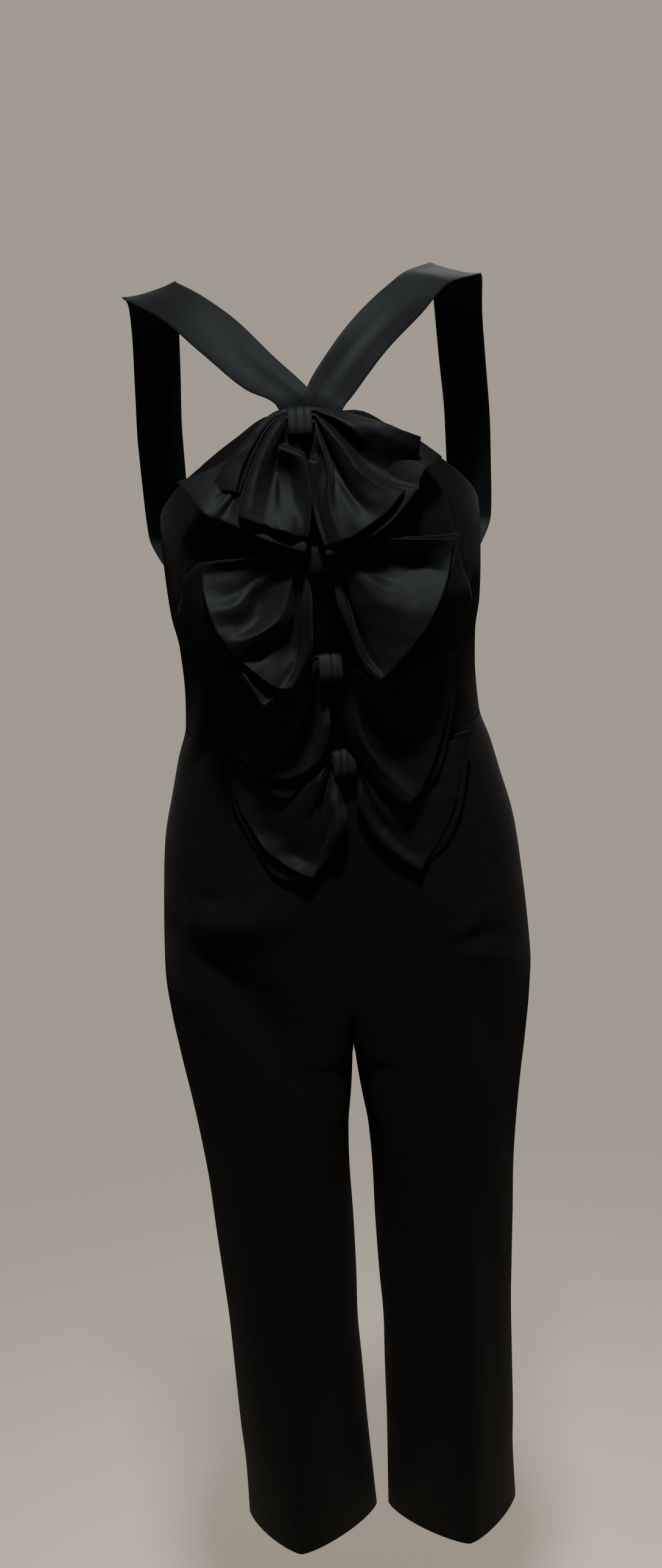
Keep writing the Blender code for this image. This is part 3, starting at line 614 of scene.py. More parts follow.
# ---------------- trousers
# Cropped straight trousers of the same crepe: a front and a back for each leg, sewn to the
# bodice at the waist, with soft drag lines at the hips and down the legs.
HEM_HEIGHT = -1.165
TROUSER_COLUMNS = 48
HIP_ROWS = 50
FORK_ROWS = 26
LEG_ROWS = 104
FORK_EASE = 1.7
TROUSER_FRONT_CREASES = (
    (0, -398, 0, -490, 0, -600, 2, -1.4),
    (-142, -522, -96, -527, -46, -513, 17, 9),
    (-78, -474, -73, -498, -62, -520, 12, 3.6),
    (-127, -506, -114, -505, -102, -508, 5, -2.2),
    (-140, -545, -86, -594, -44, -700, 18, -9),
    (-150, -580, -108, -630, -66, -730, 17, 6.2),
    (-148, -500, -135, -524, -122, -548, 5, -2.6),
    (-90, -409, -93, -460, -96, -512, 2.2, -1.4),
    (-112, -409, -114, -436, -117, -463, 1.4, -0.7),
    (91, -409, 92, -463, 93, -518, 2.2, -1.4),
    (78, -465, 90, -465.5, 102, -467, 2, 1.2),
    (21, -517, 22, -528, 24, -540, 6, 1),
    (84, -549, 114, -534, 126, -515, 7, 2.6),
    (90, -560, 120, -553, 148, -573, 6, -2),
    (89, -577, 119, -570, 150, -596, 7, 2.6),
    (96, -592, 118, -630, 120, -690, 14, -3),
    (80, -600, 92, -660, 96, -730, 16, 3),
    (-91, -690, -66, -880, -68, -1185, 18, 3),
    (-108, -700, -92, -860, -94, -1120, 14, -2.4),
    (68, -712, 90, -949, 78, -1185, 18, 3),
    (100, -740, 108, -940, 98, -1150, 12, -2.4),
    (-115, -760, -98, -800, -70, -820, 14, 2.2),
    (118, -770, 100, -812, 76, -828, 14, 2),
    (-36, -900, -30, -1020, -36, -1150, 10, -1.4),
    (36, -900, 38, -1020, 34, -1150, 10, -1.4),
)
TROUSER_BACK_CREASES = (
    (0, -390, 0, -470, 0, -560, 2, -1.2),
    (-85, -405, -86, -450, -88, -492, 1.4, -0.7),
    (85, -405, 86, -450, 88, -492, 1.4, -0.7),
    (-12, -640, -48, -668, -92, -664, 10, 3.4),
    (-16, -672, -50, -700, -98, -702, 11, -2.6),
    (12, -646, 44, -676, 90, -676, 10, 3),
    (18, -682, 52, -706, 100, -712, 11, -2.4),
    (-60, -742, -86, -760, -120, -752, 13, 2.4),
    (58, -752, 88, -774, 118, -770, 13, 2.2),
    (-74, -800, -70, -990, -72, -1185, 18, 2.2),
    (72, -820, 76, -1000, 70, -1185, 18, 2.2),
    (-104, -930, -100, -1040, -106, -1150, 12, -1.6),
    (106, -940, 104, -1050, 100, -1150, 12, -1.6),
    (-140, -470, -126, -510, -128, -560, 9, 1.8),
    (138, -480, 130, -520, 126, -566, 9, -1.8),
)


def trouser_heights():
    """Row heights: even over the hip, closer down the fork, even again down the leg."""
    hip = np.linspace(WAIST_HEIGHT, FRONT_FORK_TOP, HIP_ROWS, endpoint=False)
    ease = 1.0 - (1.0 - np.linspace(0.0, 1.0, FORK_ROWS, endpoint=False)) ** FORK_EASE
    down_fork = FRONT_FORK_TOP + (CROTCH_HEIGHT - FRONT_FORK_TOP) * ease
    leg = np.linspace(CROTCH_HEIGHT, HEM_HEIGHT, LEG_ROWS + 1)
    return np.concatenate([hip, down_fork, leg])[:, None]


for side, flip in SIDES.items():
    for part, turns, creases, area in (
        ("front", (0.0, 2.0), TROUSER_FRONT_CREASES, 0.1724),
        ("back", (2.0, 4.0), TROUSER_BACK_CREASES, 0.1731),
    ):
        turn = np.linspace(*turns, TROUSER_COLUMNS + 1)[None, :]
        crepe_panel(
            f"trouser_{part}_{side}", body_point(turn, trouser_heights()) * flip,
            creases, (0.29, 0.87), area, [f"bodice_back_{side}", "bodice_centre_front"],
        )


# ---------------- straps
# Two wide straps of black satin, sewn double. They start under the top bow, cross, lie over the
# shoulders and hang free behind the arms to the back of the bodice, where they turn under.
SATIN_WALL = 0.0011
STRAP_ACROSS = 14
STRAP_ALONG = 230
STRAP_FADE_POWER = 0.8

# Places along a +X strap, in millimetres: x, y and z of its inner edge, the same of its outer
# edge, and camber.
STRAP_FRONT_OVER = (
    (-12, -111, -105, 19, -114.4, -117, 0),
    (-2, -108.5, -83, 30, -108.5, -87, 1),
    (29, -83.5, -52, 52, -97.5, -76, 1.5),
    (60, -52, -22.5, 86, -72, -48, 2),
    (90.5, -26, -2, 120.5, -38, -20, 1),
    (106, 0, 4.5, 151, 1, -6, -3),
)
STRAP_FRONT_UNDER = (
    (-12, -108.2, -104, 14, -112, -120, 0),
    (-4, -102, -77, 24, -107, -94, 0),
    (9, -91.5, -58, 32, -98.5, -86, 0),
    (36, -67, -29, 61, -77.5, -55, 1),
    (63.5, -44, -8, 90.5, -54, -31, 2),
    (85, -23, 3.5, 120.5, -28, -7.5, 1),
    (103, 0, 6.5, 145, 1, -5, -3),
)
STRAP_BACK = (
    (107, 35, -1, 149, 35, -16, 1),
    (109, 64, -30, 150, 62, -45, 1),
    (112, 80, -80, 152.5, 76, -92, 0),
    (115, 88, -135, 154.5, 85, -142, 0),
    (115, 91, -185, 154, 92, -190, 0),
    (110, 89, -218, 152.5, 93, -222, 1),
    (98.5, 79, -236, 143, 78, -242, 3),
    (88, 75.8, -255, 121, 52, -262, 3.5),
)

# Lengthwise creases of a strap: where across it is, how far it drifts and half its width, as
# shares of the strap's width, its height, then its start and end as shares of the length.
STRAP_CREASES = {
    "left": (
        (0.24, 0.1, 0.12, 0.0007, 0, 0.2), (0.6, -0.05, 0.16, -0.0005, 0, 0.24),
        (0.5, 0.1, 0.2, 0.0003, 0.22, 0.5), (0.4, 0, 0.2, -0.0006, 0.52, 0.9),
        (0.7, 0, 0.16, 0.0005, 0.6, 0.98),
    ),
    "right": (
        (0.3, 0.14, 0.12, -0.0006, 0, 0.26), (0.56, 0.1, 0.14, 0.0007, 0.02, 0.3),
        (0.45, 0.05, 0.2, 0.0003, 0.3, 0.56), (0.55, 0, 0.2, -0.0006, 0.55, 0.92),
    ),
}


def make_satin():
    """Black satin with a soft blue-grey sheen: fine threads one way, slight slubs, uneven gloss."""
    satin, tree, shader = add_material("black_satin", {
        "Specular IOR Level": 0.16, "Specular Tint": (0.86, 0.95, 1.0, 1.0),
        "Sheen Weight": 0.05, "Sheen Roughness": 0.35, "Sheen Tint": (0.55, 0.62, 0.70, 1.0),
    })
    coordinates = add_node(tree, "TexCoord")
    patches = add_tone(
        tree, shader, coordinates, 22.0, (0.0042, 0.0049, 0.0055), (0.0056, 0.0064, 0.0071)
    )
    gloss = add_node(tree, "MapRange", {"To Min": 0.56, "To Max": 0.70})
    chart = add_node(tree, "UVMap", uv_map="cloth")
    stretch = add_node(tree, "Mapping", {"Scale": (1700.0, 420.0, 1.0)})
    threads = add_node(tree, "TexNoise", {"Scale": 1.0, "Detail": 2.0})
    grain = add_node(tree, "TexNoise", {"Scale": 900.0, "Detail": 1.0})
    join(
        tree, (patches, "Fac", gloss, "Value"), (gloss, "Result", shader, "Roughness"),
        (chart, "UV", stretch, "Vector"), (stretch, "Vector", threads, "Vector"),
        (coordinates, "Object", grain, "Vector"),
    )
    add_relief(tree, shader, threads, grain, 0.30, 0.00012)
    return satin


def strap_surface(rows, creases):
    """Middle surface of a +X strap: ruled between two smooth edges, cambered, then creased."""
    rows = np.array(rows) / 1000.0
    along = way_along((rows[:, :3] + rows[:, 3:6]) / 2)
    at = np.linspace(0.0, along[-1], STRAP_ALONG + 1)
    inner, outer, camber = np.split(steady(at, along, rows)[:, None], (3, 6), axis=-1)
    across = np.linspace(0.0, 1.0, STRAP_ACROSS + 1)[None, :]
    flat = inner * (1.0 - across[..., None]) + outer * across[..., None]
    share = (at / along[-1])[:, None]
    relief = camber[..., 0] * 4.0 * across * (1.0 - across)
    for place, drift, width, height, start, end in creases:
        stretch = np.clip((share - start) / (end - start), 0.0, 1.0)
        bell = np.exp(-((across - (place + drift * stretch)) / width) ** 2)
        relief = relief + height * bell * np.sin(np.pi * stretch) ** STRAP_FADE_POWER
    return flat - normals(flat) * relief[..., None]


def double_satin(name, middle, wall, **cut):
    """Satin sewn double, as a thin wall centred on a middle surface that faces forward or up."""
    normal = normals(middle)
    outer = drawn_in(middle, wall / 2) + normal * wall / 2
    own(cloth_shell(f"{name}_satin", outer, normal, wall, satin), name, "satin", **cut)


satin = make_satin()
for (side, flip), front_rows in zip(SIDES.items(), (STRAP_FRONT_OVER, STRAP_FRONT_UNDER)):
    middle = strap_surface(front_rows + STRAP_BACK, STRAP_CREASES[side]) * flip
    double_satin(
        f"strap_{side}", middle, SATIN_WALL, flat=(0.042, 0.50), area=0.0208, held="hung",
        rests_on=["bodice_centre_front", f"bodice_back_{side}"],
    )


# ---------------- bows
# Four bows of double black satin down the front. Each is a wide back piece and a front piece,
# gathered together in the middle and left to hang open; the folds fan out from the gathers.
BOW_WALL = 0.0012
BOW_ACROSS = 120
WING_STEPS = 64
WAIST_STEPS = 6
WING_SWEEP = 12.0
GATHER_HEIGHT = 0.0145
WING_START = 0.01195
KNOTS = {
    1: {"x": -0.011, "z": -0.098, "lift": 0.0050, "tilt": 0.0},
    2: {"x": -0.004, "z": -0.206, "lift": 0.0004, "tilt": 0.0},
    3: {"x": 0.001, "z": -0.2985, "lift": 0.0004, "tilt": 0.0},
    4: {"x": 0.0076, "z": -0.384, "lift": 0.0004, "tilt": 0.12},
}

# Each piece leaves the gathers at its own lift, and the front one's follows its first folds a
# little. The back piece then hangs at a share of the front one's lift, and a little nearer.
BACK_PIECE_LIFT = 0.0033
FRONT_PIECE_LIFT = 0.0066
GATHER_FOLDS = 0.22
BACK_SHARE = 0.62
BACK_NEARER = 0.0010

# The cloth's waves grow to full height this far from the gathers. Each is a height and two
# sines: the lengths of a wave along x and along z, and the sine's shift from bow to bow.
WAVES_FULL = 0.03
WAVES = (
    (0.00032, (0.034, 0.057, 1.7), (-0.051, 0.029, 0.9)),
    (0.00010, (0.013, -0.031, 2.3), (0.027, 0.015, 0.4)),
)

# Each wing hangs on ribs, the lines of its folds. A rib leaves the gather at its place across
# (0 the top, 1 the lower edge) and runs through the points given, x, z and lift each, to the
# free end. x and z are in millimetres from the knot, lift in millimetres off the bodice: high
# ribs are crests, low ones the troughs between them.
RIBS = {
    (1, "left"): (
        (0, -21, 4, 9, -37, -9, 11, -57, -27, 13, -75, -50, 14),
        (0.14, -21, 3, 12, -36, -10, 15, -53, -29, 17, -65, -51, 18),
        (0.24, -20, 1, 12, -35, -14, 15, -47, -33, 17, -54, -53, 20),
        (0.28, -20, 0, 8, -36, -17, 9, -47, -36, 11, -57, -55, 13),
        (0.32, -19, 0, 14, -33, -16, 17, -43, -35, 18, -51, -53, 20),
        (0.36, -18, -2, 9, -33, -20, 10, -43, -39, 12, -53, -59, 16),
        (0.41, -18, -1, 16, -31, -18, 20, -41, -38, 24, -52, -69, 31),
        (0.48, -15, -2, 20, -27, -18, 23, -36, -37, 26, -45, -72, 34),
        (0.55, -14, -6, 18, -22, -20, 20, -31, -40, 22, -39, -75, 33),
        (0.6, -13, -11, 9, -18, -24, 8, -25, -44, 15, -32, -77, 31),
        (0.66, -14, -16, 7, -18, -27, 7, -21, -41, 12, -26, -80, 32),
        (0.7, -15, -18, 8, -18, -20, 20, -19, -41, 12, -20, -81, 34),
        (0.78, -11, -20, 8, -13, -22, 24, -11, -43, 13, -13, -84, 33),
        (0.86, -7, -22, 8, -7, -24, 26, -5, -45, 18, -8, -87, 29),
        (0.93, -3, -24, 8, -1, -27, 26, 0, -47, 23, -3, -88, 27),
        (1, 2, -27, 8, 3, -30, 24, 5, -50, 27, 1, -88, 31),
    ),
    (1, "right"): (
        (0, 30, 3, 11, 48, -2, 14, 69, -9, 20, 94, -19, 26),
        (0.08, 29, 1, 15, 45, -5, 18, 65, -15, 20, 93, -27, 22),
        (0.15, 28, -1, 18, 41, -9, 21, 58, -22, 15, 91, -37, 15),
        (0.24, 26, -7, 9, 37, -20, 10, 51, -37, 7, 88, -49, 8),
        (0.32, 24, -8, 14, 33, -22, 17, 47, -42, 15, 84, -58, 9),
        (0.38, 21, -8, 21, 32, -22, 27, 45, -42, 30, 77, -60, 29),
        (0.46, 19, -12, 17, 28, -29, 22, 40, -50, 27, 65, -72, 32),
        (0.52, 19, -16, 10, 25, -35, 12, 35, -57, 20, 54, -79, 32),
        (0.6, 18, -18, 9, 23, -39, 12, 29, -57, 23, 43, -85, 34),
        (0.68, 17, -18, 13, 22, -39, 16, 24, -61, 25, 34, -90, 33),
        (0.75, 15, -18, 22, 20, -38, 26, 19, -61, 28, 27, -92, 33),
        (0.81, 13, -22, 12, 17, -40, 20, 16, -63, 25, 22, -94, 31),
        (0.86, 12, -28, 6, 15, -34, 20, 13, -64, 23, 19, -95, 29),
        (0.93, 9, -30, 6, 10, -33, 24, 9, -61, 21, 16, -96, 27),
        (1, 6, -30, 6, 5, -32, 23, 5, -61, 21, 13, -97, 27),
    ),
    (2, "left"): (
        (0, -23, 3, 8, -46, 3, 13, -68, 2, 14, -92, -1, 10),
        (0.1, -24, 0, 7, -47, -4, 9, -70, -7, 10, -93, -9, 11),
        (0.2, -25, -2, 8, -50, -10, 9, -73, -17, 14, -93, -19, 18),
        (0.28, -25, -4, 8, -52, -15, 9, -71, -27, 17, -91, -29, 25),
        (0.36, -25, -6, 9, -51, -21, 11, -67, -34, 24, -89, -37, 31),
        (0.45, -25, -9, 8, -48, -30, 10, -64, -46, 24, -85, -48, 36),
        (0.53, -24, -12, 9, -43, -40, 15, -62, -55, 31, -81, -56, 40),
        (0.6, -22, -17, 14, -31, -42, 24, -54, -57, 37, -74, -67, 42),
        (0.66, -20, -23, 9, -29, -52, 23, -51, -71, 25, -67, -77, 37),
        (0.74, -18, -27, 8, -26, -61, 17, -44, -80, 31, -56, -87, 44),
        (0.82, -16, -28, 9, -22, -68, 19, -34, -89, 36, -45, -97, 46),
        (0.89, -14, -28, 9, -18, -63, 18, -26, -91, 35, -36, -102, 46),
        (0.95, -10, -25, 18, -10, -50, 25, -15, -77, 35, -28, -102, 46),
        (1, -7, -29, 11, -8, -54, 17, -11, -82, 27, -21, -96, 38),
    ),
    (2, "right"): (
        (0, 26, 9, 8, 52, 12, 17, 81, 11, 23, 110, 6, 14),
        (0.13, 27, 5, 8, 53, 2, 12, 82, -2, 16, 107, -6, 16),
        (0.25, 27, 0, 8, 53, -9, 8, 81, -14, 10, 104, -18, 21),
        (0.34, 28, -4, 8, 52, -19, 10, 76, -22, 15, 99, -31, 28),
        (0.43, 27, -8, 12, 49, -27, 20, 74, -36, 25, 92, -44, 35),
        (0.54, 26, -13, 14, 44, -37, 23, 65, -50, 32, 82, -60, 40),
        (0.67, 25, -19, 13, 39, -48, 23, 55, -66, 34, 69, -75, 43),
        (0.8, 22, -25, 11, 32, -57, 20, 44, -79, 34, 55, -90, 45),
        (0.89, 21, -31, 8, 28, -61, 16, 37, -84, 32, 48, -97, 45),
        (0.95, 18, -31, 14, 25, -60, 26, 33, -86, 38, 45, -99, 46),
        (1, 13, -36, 16, 22, -62, 26, 31, -88, 37, 42, -102, 45),
    ),
    (3, "left"): (
        (0, -18, 4, 8, -34, 4, 8, -56, 3, 8, -90, -1, 6),
        (0.1, -18, 2, 9, -35, 0, 10, -58, -11, 12, -91, -22, 10),
        (0.2, -18, 0, 8, -33, -8, 9, -55, -25, 13, -90, -35, 13),
        (0.32, -18, -3, 13, -30, -17, 14, -53, -40, 17, -89, -48, 16),
        (0.5, -17, -7, 18, -27, -32, 18, -49, -62, 20, -80, -73, 20),
        (0.6, -16, -10, 20, -24, -36, 21, -40, -66, 23, -70, -85, 21),
        (0.68, -16, -12, 16, -22, -36, 13, -36, -68, 17, -62, -91, 20),
        (0.76, -16, -13, 12, -20, -34, 14, -32, -62, 22, -55, -94, 20),
        (0.84, -15, -14, 10, -17, -35, 9, -26, -66, 16, -45, -95, 22),
        (0.91, -13, -16, 9, -13, -34, 10, -16, -60, 20, -31, -92, 23),
        (0.96, -11, -16, 8, -9, -33, 10, -9, -52, 23, -20, -84, 26),
        (1, -10, -17, 8, -6, -32, 12, -3, -50, 24, -14, -80, 25),
    ),
    (3, "right"): (
        (0, 18, 3, 8, 34, 2, 8, 66, -1, 8, 97, -6, 6),
        (0.12, 18, 1, 9, 34, -5, 10, 64, -16, 12, 97, -25, 10),
        (0.24, 18, -1, 9, 32, -12, 9, 60, -33, 13, 94, -48, 15),
        (0.36, 18, -4, 13, 29, -20, 14, 54, -48, 18, 88, -68, 18),
        (0.48, 17, -8, 18, 24, -24, 13, 43, -57, 16, 80, -90, 20),
        (0.58, 17, -10, 19, 21, -28, 13, 36, -66, 16, 71, -108, 20),
        (0.67, 16, -11, 16, 19, -28, 15, 31, -70, 21, 66, -115, 20),
        (0.75, 15, -12, 13, 16, -27, 18, 26, -72, 28, 61, -119, 23),
        (0.84, 14, -14, 11, 13, -28, 13, 21, -72, 24, 57, -121, 24),
        (0.93, 12, -16, 9, 10, -30, 11, 17, -72, 20, 54, -121, 24),
        (1, 10, -17, 8, 7, -32, 9, 13, -70, 16, 52, -120, 20),
    ),
    (4, "left"): (
        (0, -17, 9, 8, -34, 7, 8, -55, 3, 7, -78, -3, 6, -94, -8, 6),
        (0.06, -18, 8, 14, -33, 5, 10, -55, -1, 7, -78, -8, 6, -95, -13, 6),
        (0.12, -21, 5, 19, -33, 1, 13, -54, -6, 8, -78, -15, 7, -95, -20, 7),
        (0.18, -20, 1, 16, -32, -3, 9, -54, -11, 8, -77, -20, 7, -94, -26, 7),
        (0.23, -17, -1, 8, -31, -5, 9, -53, -16, 8, -75, -25, 7, -92, -31, 7),
        (0.32, -19, -4, 15, -30, -10, 14, -50, -26, 10, -72, -36, 7, -89, -40, 7),
        (0.42, -22, -9, 22, -28, -16, 20, -47, -39, 12, -68, -49, 6, -83, -51, 8),
        (0.51, -22, -14, 23, -25, -24, 18, -42, -50, 11, -62, -60, 5, -77, -63, 10),
        (0.59, -20, -18, 18, -23, -28, 11, -38, -56, 10, -54, -70, 5, -70, -73, 12),
        (0.67, -17, -20, 9, -20, -31, 10, -33, -60, 9, -48, -77, 4, -60, -82, 11),
        (0.77, -15, -20, 9, -17, -33, 11, -26, -62, 9, -38, -83, 5, -46, -92, 12),
        (0.86, -13, -20, 10, -14, -34, 15, -19, -62, 9, -29, -85, 6, -34, -98, 11),
        (0.93, -10, -20, 11, -9, -35, 17, -11, -56, 21, -21, -78, 9, -28, -93, 8),
        (1, -7, -20, 10, -4, -32, 12, -1, -48, 17, -8, -62, 13, -16, -78, 10),
    ),
    (4, "right"): (
        (0, 18, 8, 9, 34, 8, 9, 64, 8, 8, 96, 7, 7),
        (0.12, 18, 5, 13, 33, 1, 12, 62, -7, 9, 96, -12, 8),
        (0.24, 18, 1, 9, 31, -7, 9, 60, -21, 9, 94, -30, 8),
        (0.38, 17, -3, 14, 28, -15, 14, 55, -35, 10, 89, -50, 7),
        (0.52, 16, -7, 12, 25, -22, 11, 48, -46, 8, 80, -68, 6),
        (0.66, 15, -11, 13, 21, -28, 13, 40, -56, 9, 71, -82, 6),
        (0.8, 14, -14, 9, 17, -32, 9, 32, -62, 6, 63, -92, 8),
        (0.91, 12, -17, 9, 12, -35, 12, 25, -66, 10, 58, -98, 10),
        (1, 10, -18, 8, 8, -32, 9, 17, -60, 8, 52, -96, 8),
    ),
}

# Free ends of the back pieces: place across, then x, z and lift as in the ribs.
BACK_ENDS = {
    (1, "left"): (
        (0, -101, -45, 11), (0.15, -91, -55, 18), (0.3, -77, -69, 29), (0.36, -67, -73, 24),
        (0.45, -52, -80, 26), (0.75, -28, -91, 27), (1, -2, -101, 26),
    ),
    (1, "right"): (
        (0, 111, -39, 6), (0.12, 102, -44, 14), (0.2, 88, -50, 19), (0.26, 91, -60, 17),
        (0.38, 89, -59, 24), (0.5, 75, -74, 26), (0.62, 59, -87, 27), (0.8, 37, -98, 27),
        (1, 14, -105, 26),
    ),
    (2, "left"): (
        (0, -96, -1, 10), (0.1, -109, -15, 13), (0.25, -111, -29, 10), (0.45, -109, -50, 6),
        (0.6, -98, -71, 7), (0.75, -66, -90, 38), (0.9, -50, -115, 49), (1, -42, -108, 44),
    ),
    (2, "right"): (
        (0, 115, 9, 9), (0.15, 112, -6, 13), (0.3, 105, -23, 17), (0.5, 94, -47, 23),
        (0.75, 79, -86, 32), (0.88, 64, -106, 36), (1, 45, -106, 34),
    ),
    (3, "left"): (
        (0, -94, 0, 4), (0.25, -97, -39, 9), (0.5, -85, -78, 14),
        (0.75, -64, -103, 15), (0.92, -45, -113, 16), (1, -38, -111, 16),
    ),
    (3, "right"): (
        (0, 102, 0, 4), (0.25, 101, -39, 9), (0.5, 93, -75, 13),
        (0.75, 80, -106, 14), (1, 56, -121, 14),
    ),
    (4, "left"): (
        (0, -97, 4, 4), (0.25, -96, -29, 4), (0.5, -84, -64, 4),
        (0.75, -63, -98, 6), (1, -45, -103, 7),
    ),
    (4, "right"): (
        (0, 106, 13, 4), (0.25, 101, -25, 4), (0.5, 93, -58, 4),
        (0.75, 79, -83, 4), (1, 56, -98, 5),
    ),
}

# Each bow's width when cut, then the flat areas of its back piece and its front piece.
BOW_CUTS = (
    (1, 0.22, 0.0195, 0.0205), (2, 0.24, 0.021, 0.0205),
    (3, 0.24, 0.0192, 0.018), (4, 0.24, 0.0172, 0.0168),
)


def rounded(at, knots, values):
    """Natural cubic spline through the rows of values, its bends from its band of equations."""
    gap = np.diff(knots)
    bend = np.diag([1.0, *(2.0 * (gap[:-1] + gap[1:])), 1.0])
    bend += np.diag([*gap[:-1], 0.0], -1) + np.diag([0.0, *gap[1:]], 1)
    load = np.zeros_like(values)
    load[1:-1] = 6.0 * np.diff(np.diff(values, axis=0) / gap[:, None], axis=0)
    curve = np.linalg.solve(bend, load)
    place = np.clip(np.searchsorted(knots, at) - 1, 0, len(knots) - 2)
    width = gap[place][:, None]
    right = (at - knots[place])[:, None] / width
    left = 1.0 - right
    straight = values[place] * left + values[place + 1] * right
    sag = curve[place] * (left ** 3 - left) + curve[place + 1] * (right ** 3 - right)
    return straight + sag * width ** 2 / 6.0


def hang(x, height, lift):
    """Depth of a bow's point: off the bodice's centre front by its lift, falling back sideways."""
    return -figure("front", height) + WING_SWEEP * np.abs(x) ** 3 - lift


def wing_ribs(number, side, front):
    """Points of each rib of a wing, as (rib, point, xz and lift), in metres from the knot.

    The back piece follows the front one's folds, a little nearer the body, to its own end.
    """
    rows = np.array(RIBS[number, side], dtype=float)
    across, points = rows[:, 0], rows[:, 1:].reshape(len(rows), -1, 3) / 1000.0
    knot = KNOTS[number]
    start_x = WING_START * SIDES[side][0]
    start = np.stack([
        np.full_like(across, start_x),
        (0.5 - across) * GATHER_HEIGHT + start_x * knot["tilt"],
        np.full_like(across, knot["lift"] + (FRONT_PIECE_LIFT if front else BACK_PIECE_LIFT)),
    ], axis=-1)
    if front:
        start[:, 2] += GATHER_FOLDS * (points[:, 0, 2] - points[:, 0, 2].mean())
    else:
        lift = BACK_SHARE * points[..., 2] - BACK_NEARER
        points[..., 2] = np.maximum(lift, BACK_PIECE_LIFT)
        ends = np.array(BACK_ENDS[number, side])
        points[:, -1] = steady(across, ends[:, 0], ends[:, 1:]) / 1000.0
    return across, np.concatenate([start[:, None], points], axis=1)


def along_ribs(points, along):
    """Each rib as a smooth curve through its points, with equal shares of the grid between them.

    x and z follow a natural cubic over the chord length, lift a cubic with no overshoot.
    """
    curves = []
    for rib in points:
        place = way_along(rib)
        at = np.interp(along * (len(rib) - 1), np.arange(len(rib)), place)
        flat = rounded(at, place, rib[:, :2])
        curves.append(np.column_stack([flat, steady(at, place, rib[:, 2])]))
    return np.stack(curves)


def unevenness(x, height, bow):
    """Slow waves of the cloth, under a millimetre: products of sines that cross at a slant."""
    waves = 0.0
    for size, *sines in WAVES:
        crossed = 1.0
        for across, down, shift in sines:
            crossed = crossed * np.sin(2 * np.pi * (x / across + height / down) + shift * bow)
        waves = waves + size * crossed
    return waves


def bow_surface(number, front):
    """Middle surface of one bow piece, from the left free end through the knot to the right."""
    across = np.linspace(0.0, 1.0, BOW_ACROSS + 1)
    along = np.linspace(0.0, 1.0, WING_STEPS + 1)
    left, right = (
        steady(across, rib_at, along_ribs(points, along)).swapaxes(0, 1)
        for rib_at, points in (wing_ribs(number, side, front) for side in SIDES)
    )
    share = np.linspace(0.0, 1.0, WAIST_STEPS + 1)[1:-1, None, None]
    waist = left[0] * (1.0 - share) + right[0] * share
    points = np.concatenate([left[::-1], waist, right])
    x = KNOTS[number]["x"] + points[..., 0]
    height = KNOTS[number]["z"] + points[..., 1]
    from_knot = np.clip((np.abs(points[..., 0]) - WING_START) / WAVES_FULL, 0.0, 1.0)
    lift = points[..., 2] + from_knot * unevenness(x, height, number)
    return np.stack([x, hang(x, height, lift), height], axis=-1)


for number, width, *areas in BOW_CUTS:
    for part, area in zip(("back", "front"), areas):
        double_satin(
            f"bow{number}_{part}_piece", bow_surface(number, part == "front"), BOW_WALL,
            flat=(width, 0.115), area=area, held="gathered", rests_on=["bodice_centre_front"],
        )


# ---------------- knots
# A band of the same satin round the middle of each bow, laid in two soft pleats, which holds the
# gathers together and is sewn down behind.
BAND_WIDTH = 0.0182
BAND_DROP = 0.0024
KNOT_HEIGHT = 0.0225
BAND_LENGTH = 0.075
KNOT_WALL = 0.0013
KNOT_AROUND = 96
KNOT_ALONG = 40
KNOT_ROUNDNESS = 0.75
EDGE_SINK = 0.0005
PLEAT_WANDER = 0.02

# Depth and lean of each knot. Pleats: place and half width as shares of the band's width, how
# deep they are, and the angle at which they start to wander.
KNOT_FORMS = {1: (0.0168, 0.58), 2: (0.0142, 0.3), 3: (0.0205, 0.45), 4: (0.0178, 0.47)}
PLEATS = {
    1: ((-0.17, 0.03, 0.0009, 0.6), (0.2, 0.035, 0.0008, 2.1)),
    2: ((-0.1, 0.03, 0.0009, 1.2), (0.24, 0.03, 0.0007, 0.3)),
    3: ((0.02, 0.03, 0.001, 2.8), (0.3, 0.028, 0.0006, 1.0)),
    4: ((-0.2, 0.035, 0.001, 0.2), (0.12, 0.035, 0.0009, 1.9)),
}


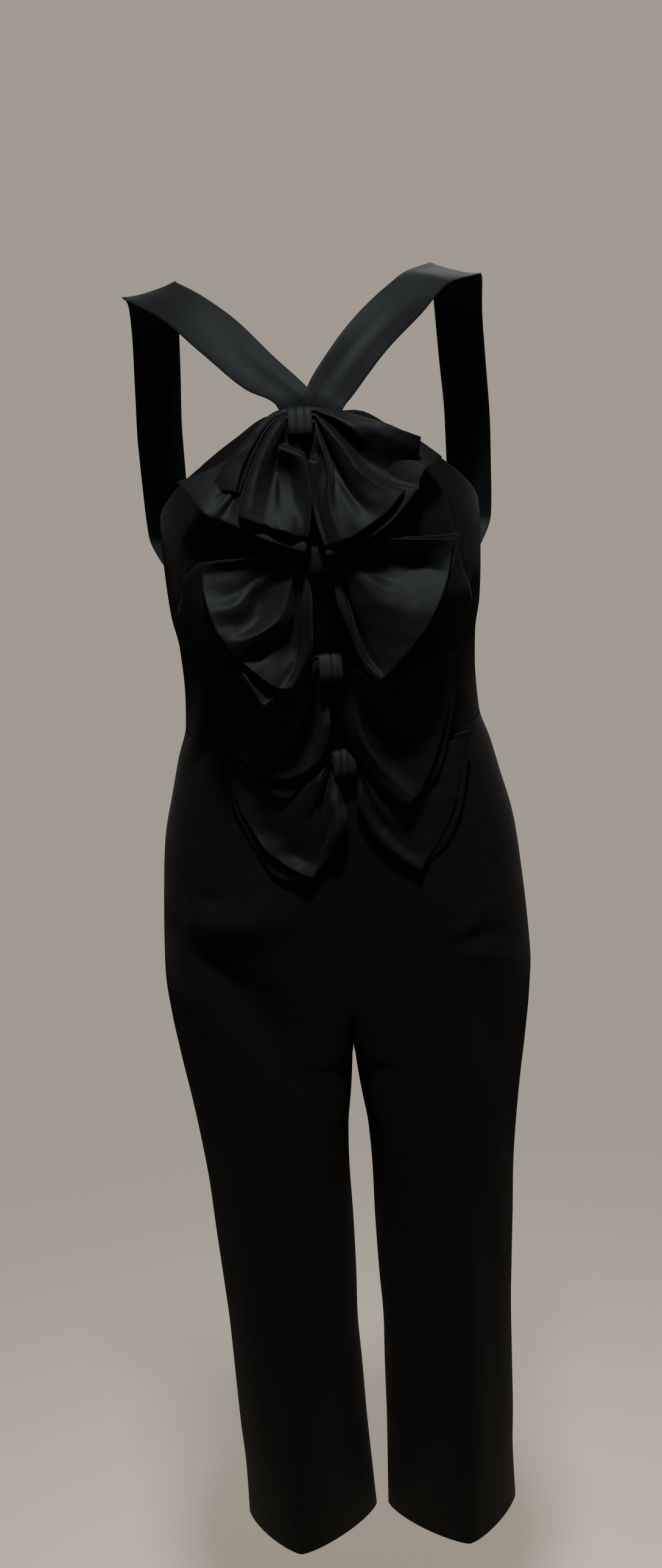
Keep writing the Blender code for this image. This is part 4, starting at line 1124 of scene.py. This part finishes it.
def knot_band(number):
    """Outer face of a knot band: a rounded ring round the gathers, with pleats sunk in it.

    angle runs round the band, along runs across its width. Its front leans back by its own
    share of the depth, and its back follows the bodice.
    """
    knot = KNOTS[number]
    full_depth, lean = KNOT_FORMS[number]
    angle = np.linspace(0.0, 2.0 * np.pi, KNOT_AROUND + 1)[None, :]
    along = np.linspace(-0.5, 0.5, KNOT_ALONG + 1)[:, None]
    sink = EDGE_SINK * (2.0 * along) ** 4 + 0.0 * angle
    for place, width, fold, wander in PLEATS[number]:
        line = place + PLEAT_WANDER * np.sin(angle + wander)
        sink = sink + fold * np.exp(-((along - line) / width) ** 2)
    z = (KNOT_HEIGHT / 2 - sink) * signed_power(np.sin(angle), KNOT_ROUNDNESS)
    outward = signed_power(np.cos(angle), KNOT_ROUNDNESS)
    depth = full_depth / 2 + (full_depth / 2 - sink) * outward
    front = depth / full_depth
    depth = depth * (1.0 - lean * (0.5 + z / KNOT_HEIGHT))
    x = knot["x"] + along * BAND_WIDTH + 0.0 * angle
    height = knot["z"] - BAND_DROP + z + knot["tilt"] * along * BAND_WIDTH
    behind = knot["z"] + (1.0 - front) * (height - knot["z"])
    return np.stack([x, hang(x, behind, knot["lift"] + depth), height], axis=-1)


def band_shell(name, outer, wall, material):
    """A closed ring of cloth: both faces go all round, and half-round edges join them."""
    ring = outer[:, :-1]
    around = (np.roll(ring, -1, axis=1) - np.roll(ring, 1, axis=1)) / 2.0
    normal = unit(np.cross(np.gradient(ring, axis=0), around))
    normal *= np.sign(np.sum(normal * (ring - outer.mean(axis=(0, 1)))))
    centre = ring - normal * wall / 2
    first_edge, last_edge = (
        edge_rows(centre[edge], normal[edge], unit(ring[edge] - ring[inside]), wall)
        for edge, inside in ((0, 1), (-1, -2))
    )
    tube = np.stack([*ring, *last_edge, *(ring - normal * wall)[::-1], *first_edge[::-1]])
    ids = np.arange(tube[..., 0].size).reshape(tube.shape[:2])
    down = np.roll(ids, -1, axis=0)
    faces = np.stack([ids, np.roll(ids, -1, axis=1), np.roll(down, -1, axis=1), down], axis=-1)
    lengths = np.linspace(0.0, BAND_LENGTH, ids.shape[1])
    widths = np.linspace(0.0, 2.0 * BAND_WIDTH, ids.shape[0])
    chart = np.stack(np.meshgrid(widths, lengths, indexing="ij"), axis=-1).reshape(-1, 2)
    return cloth_object(
        name, tube.reshape(-1, 3), faces.reshape(-1, 4), normal[0], chart, material
    )


for number in KNOTS:
    own(
        band_shell(f"bow{number}_knot_satin", knot_band(number), KNOT_WALL, satin),
        f"bow{number}_knot", "satin", flat=(0.020, 0.060), area=0.0011, held="stretched",
        rests_on=[f"bow{number}_front_piece"],
    )
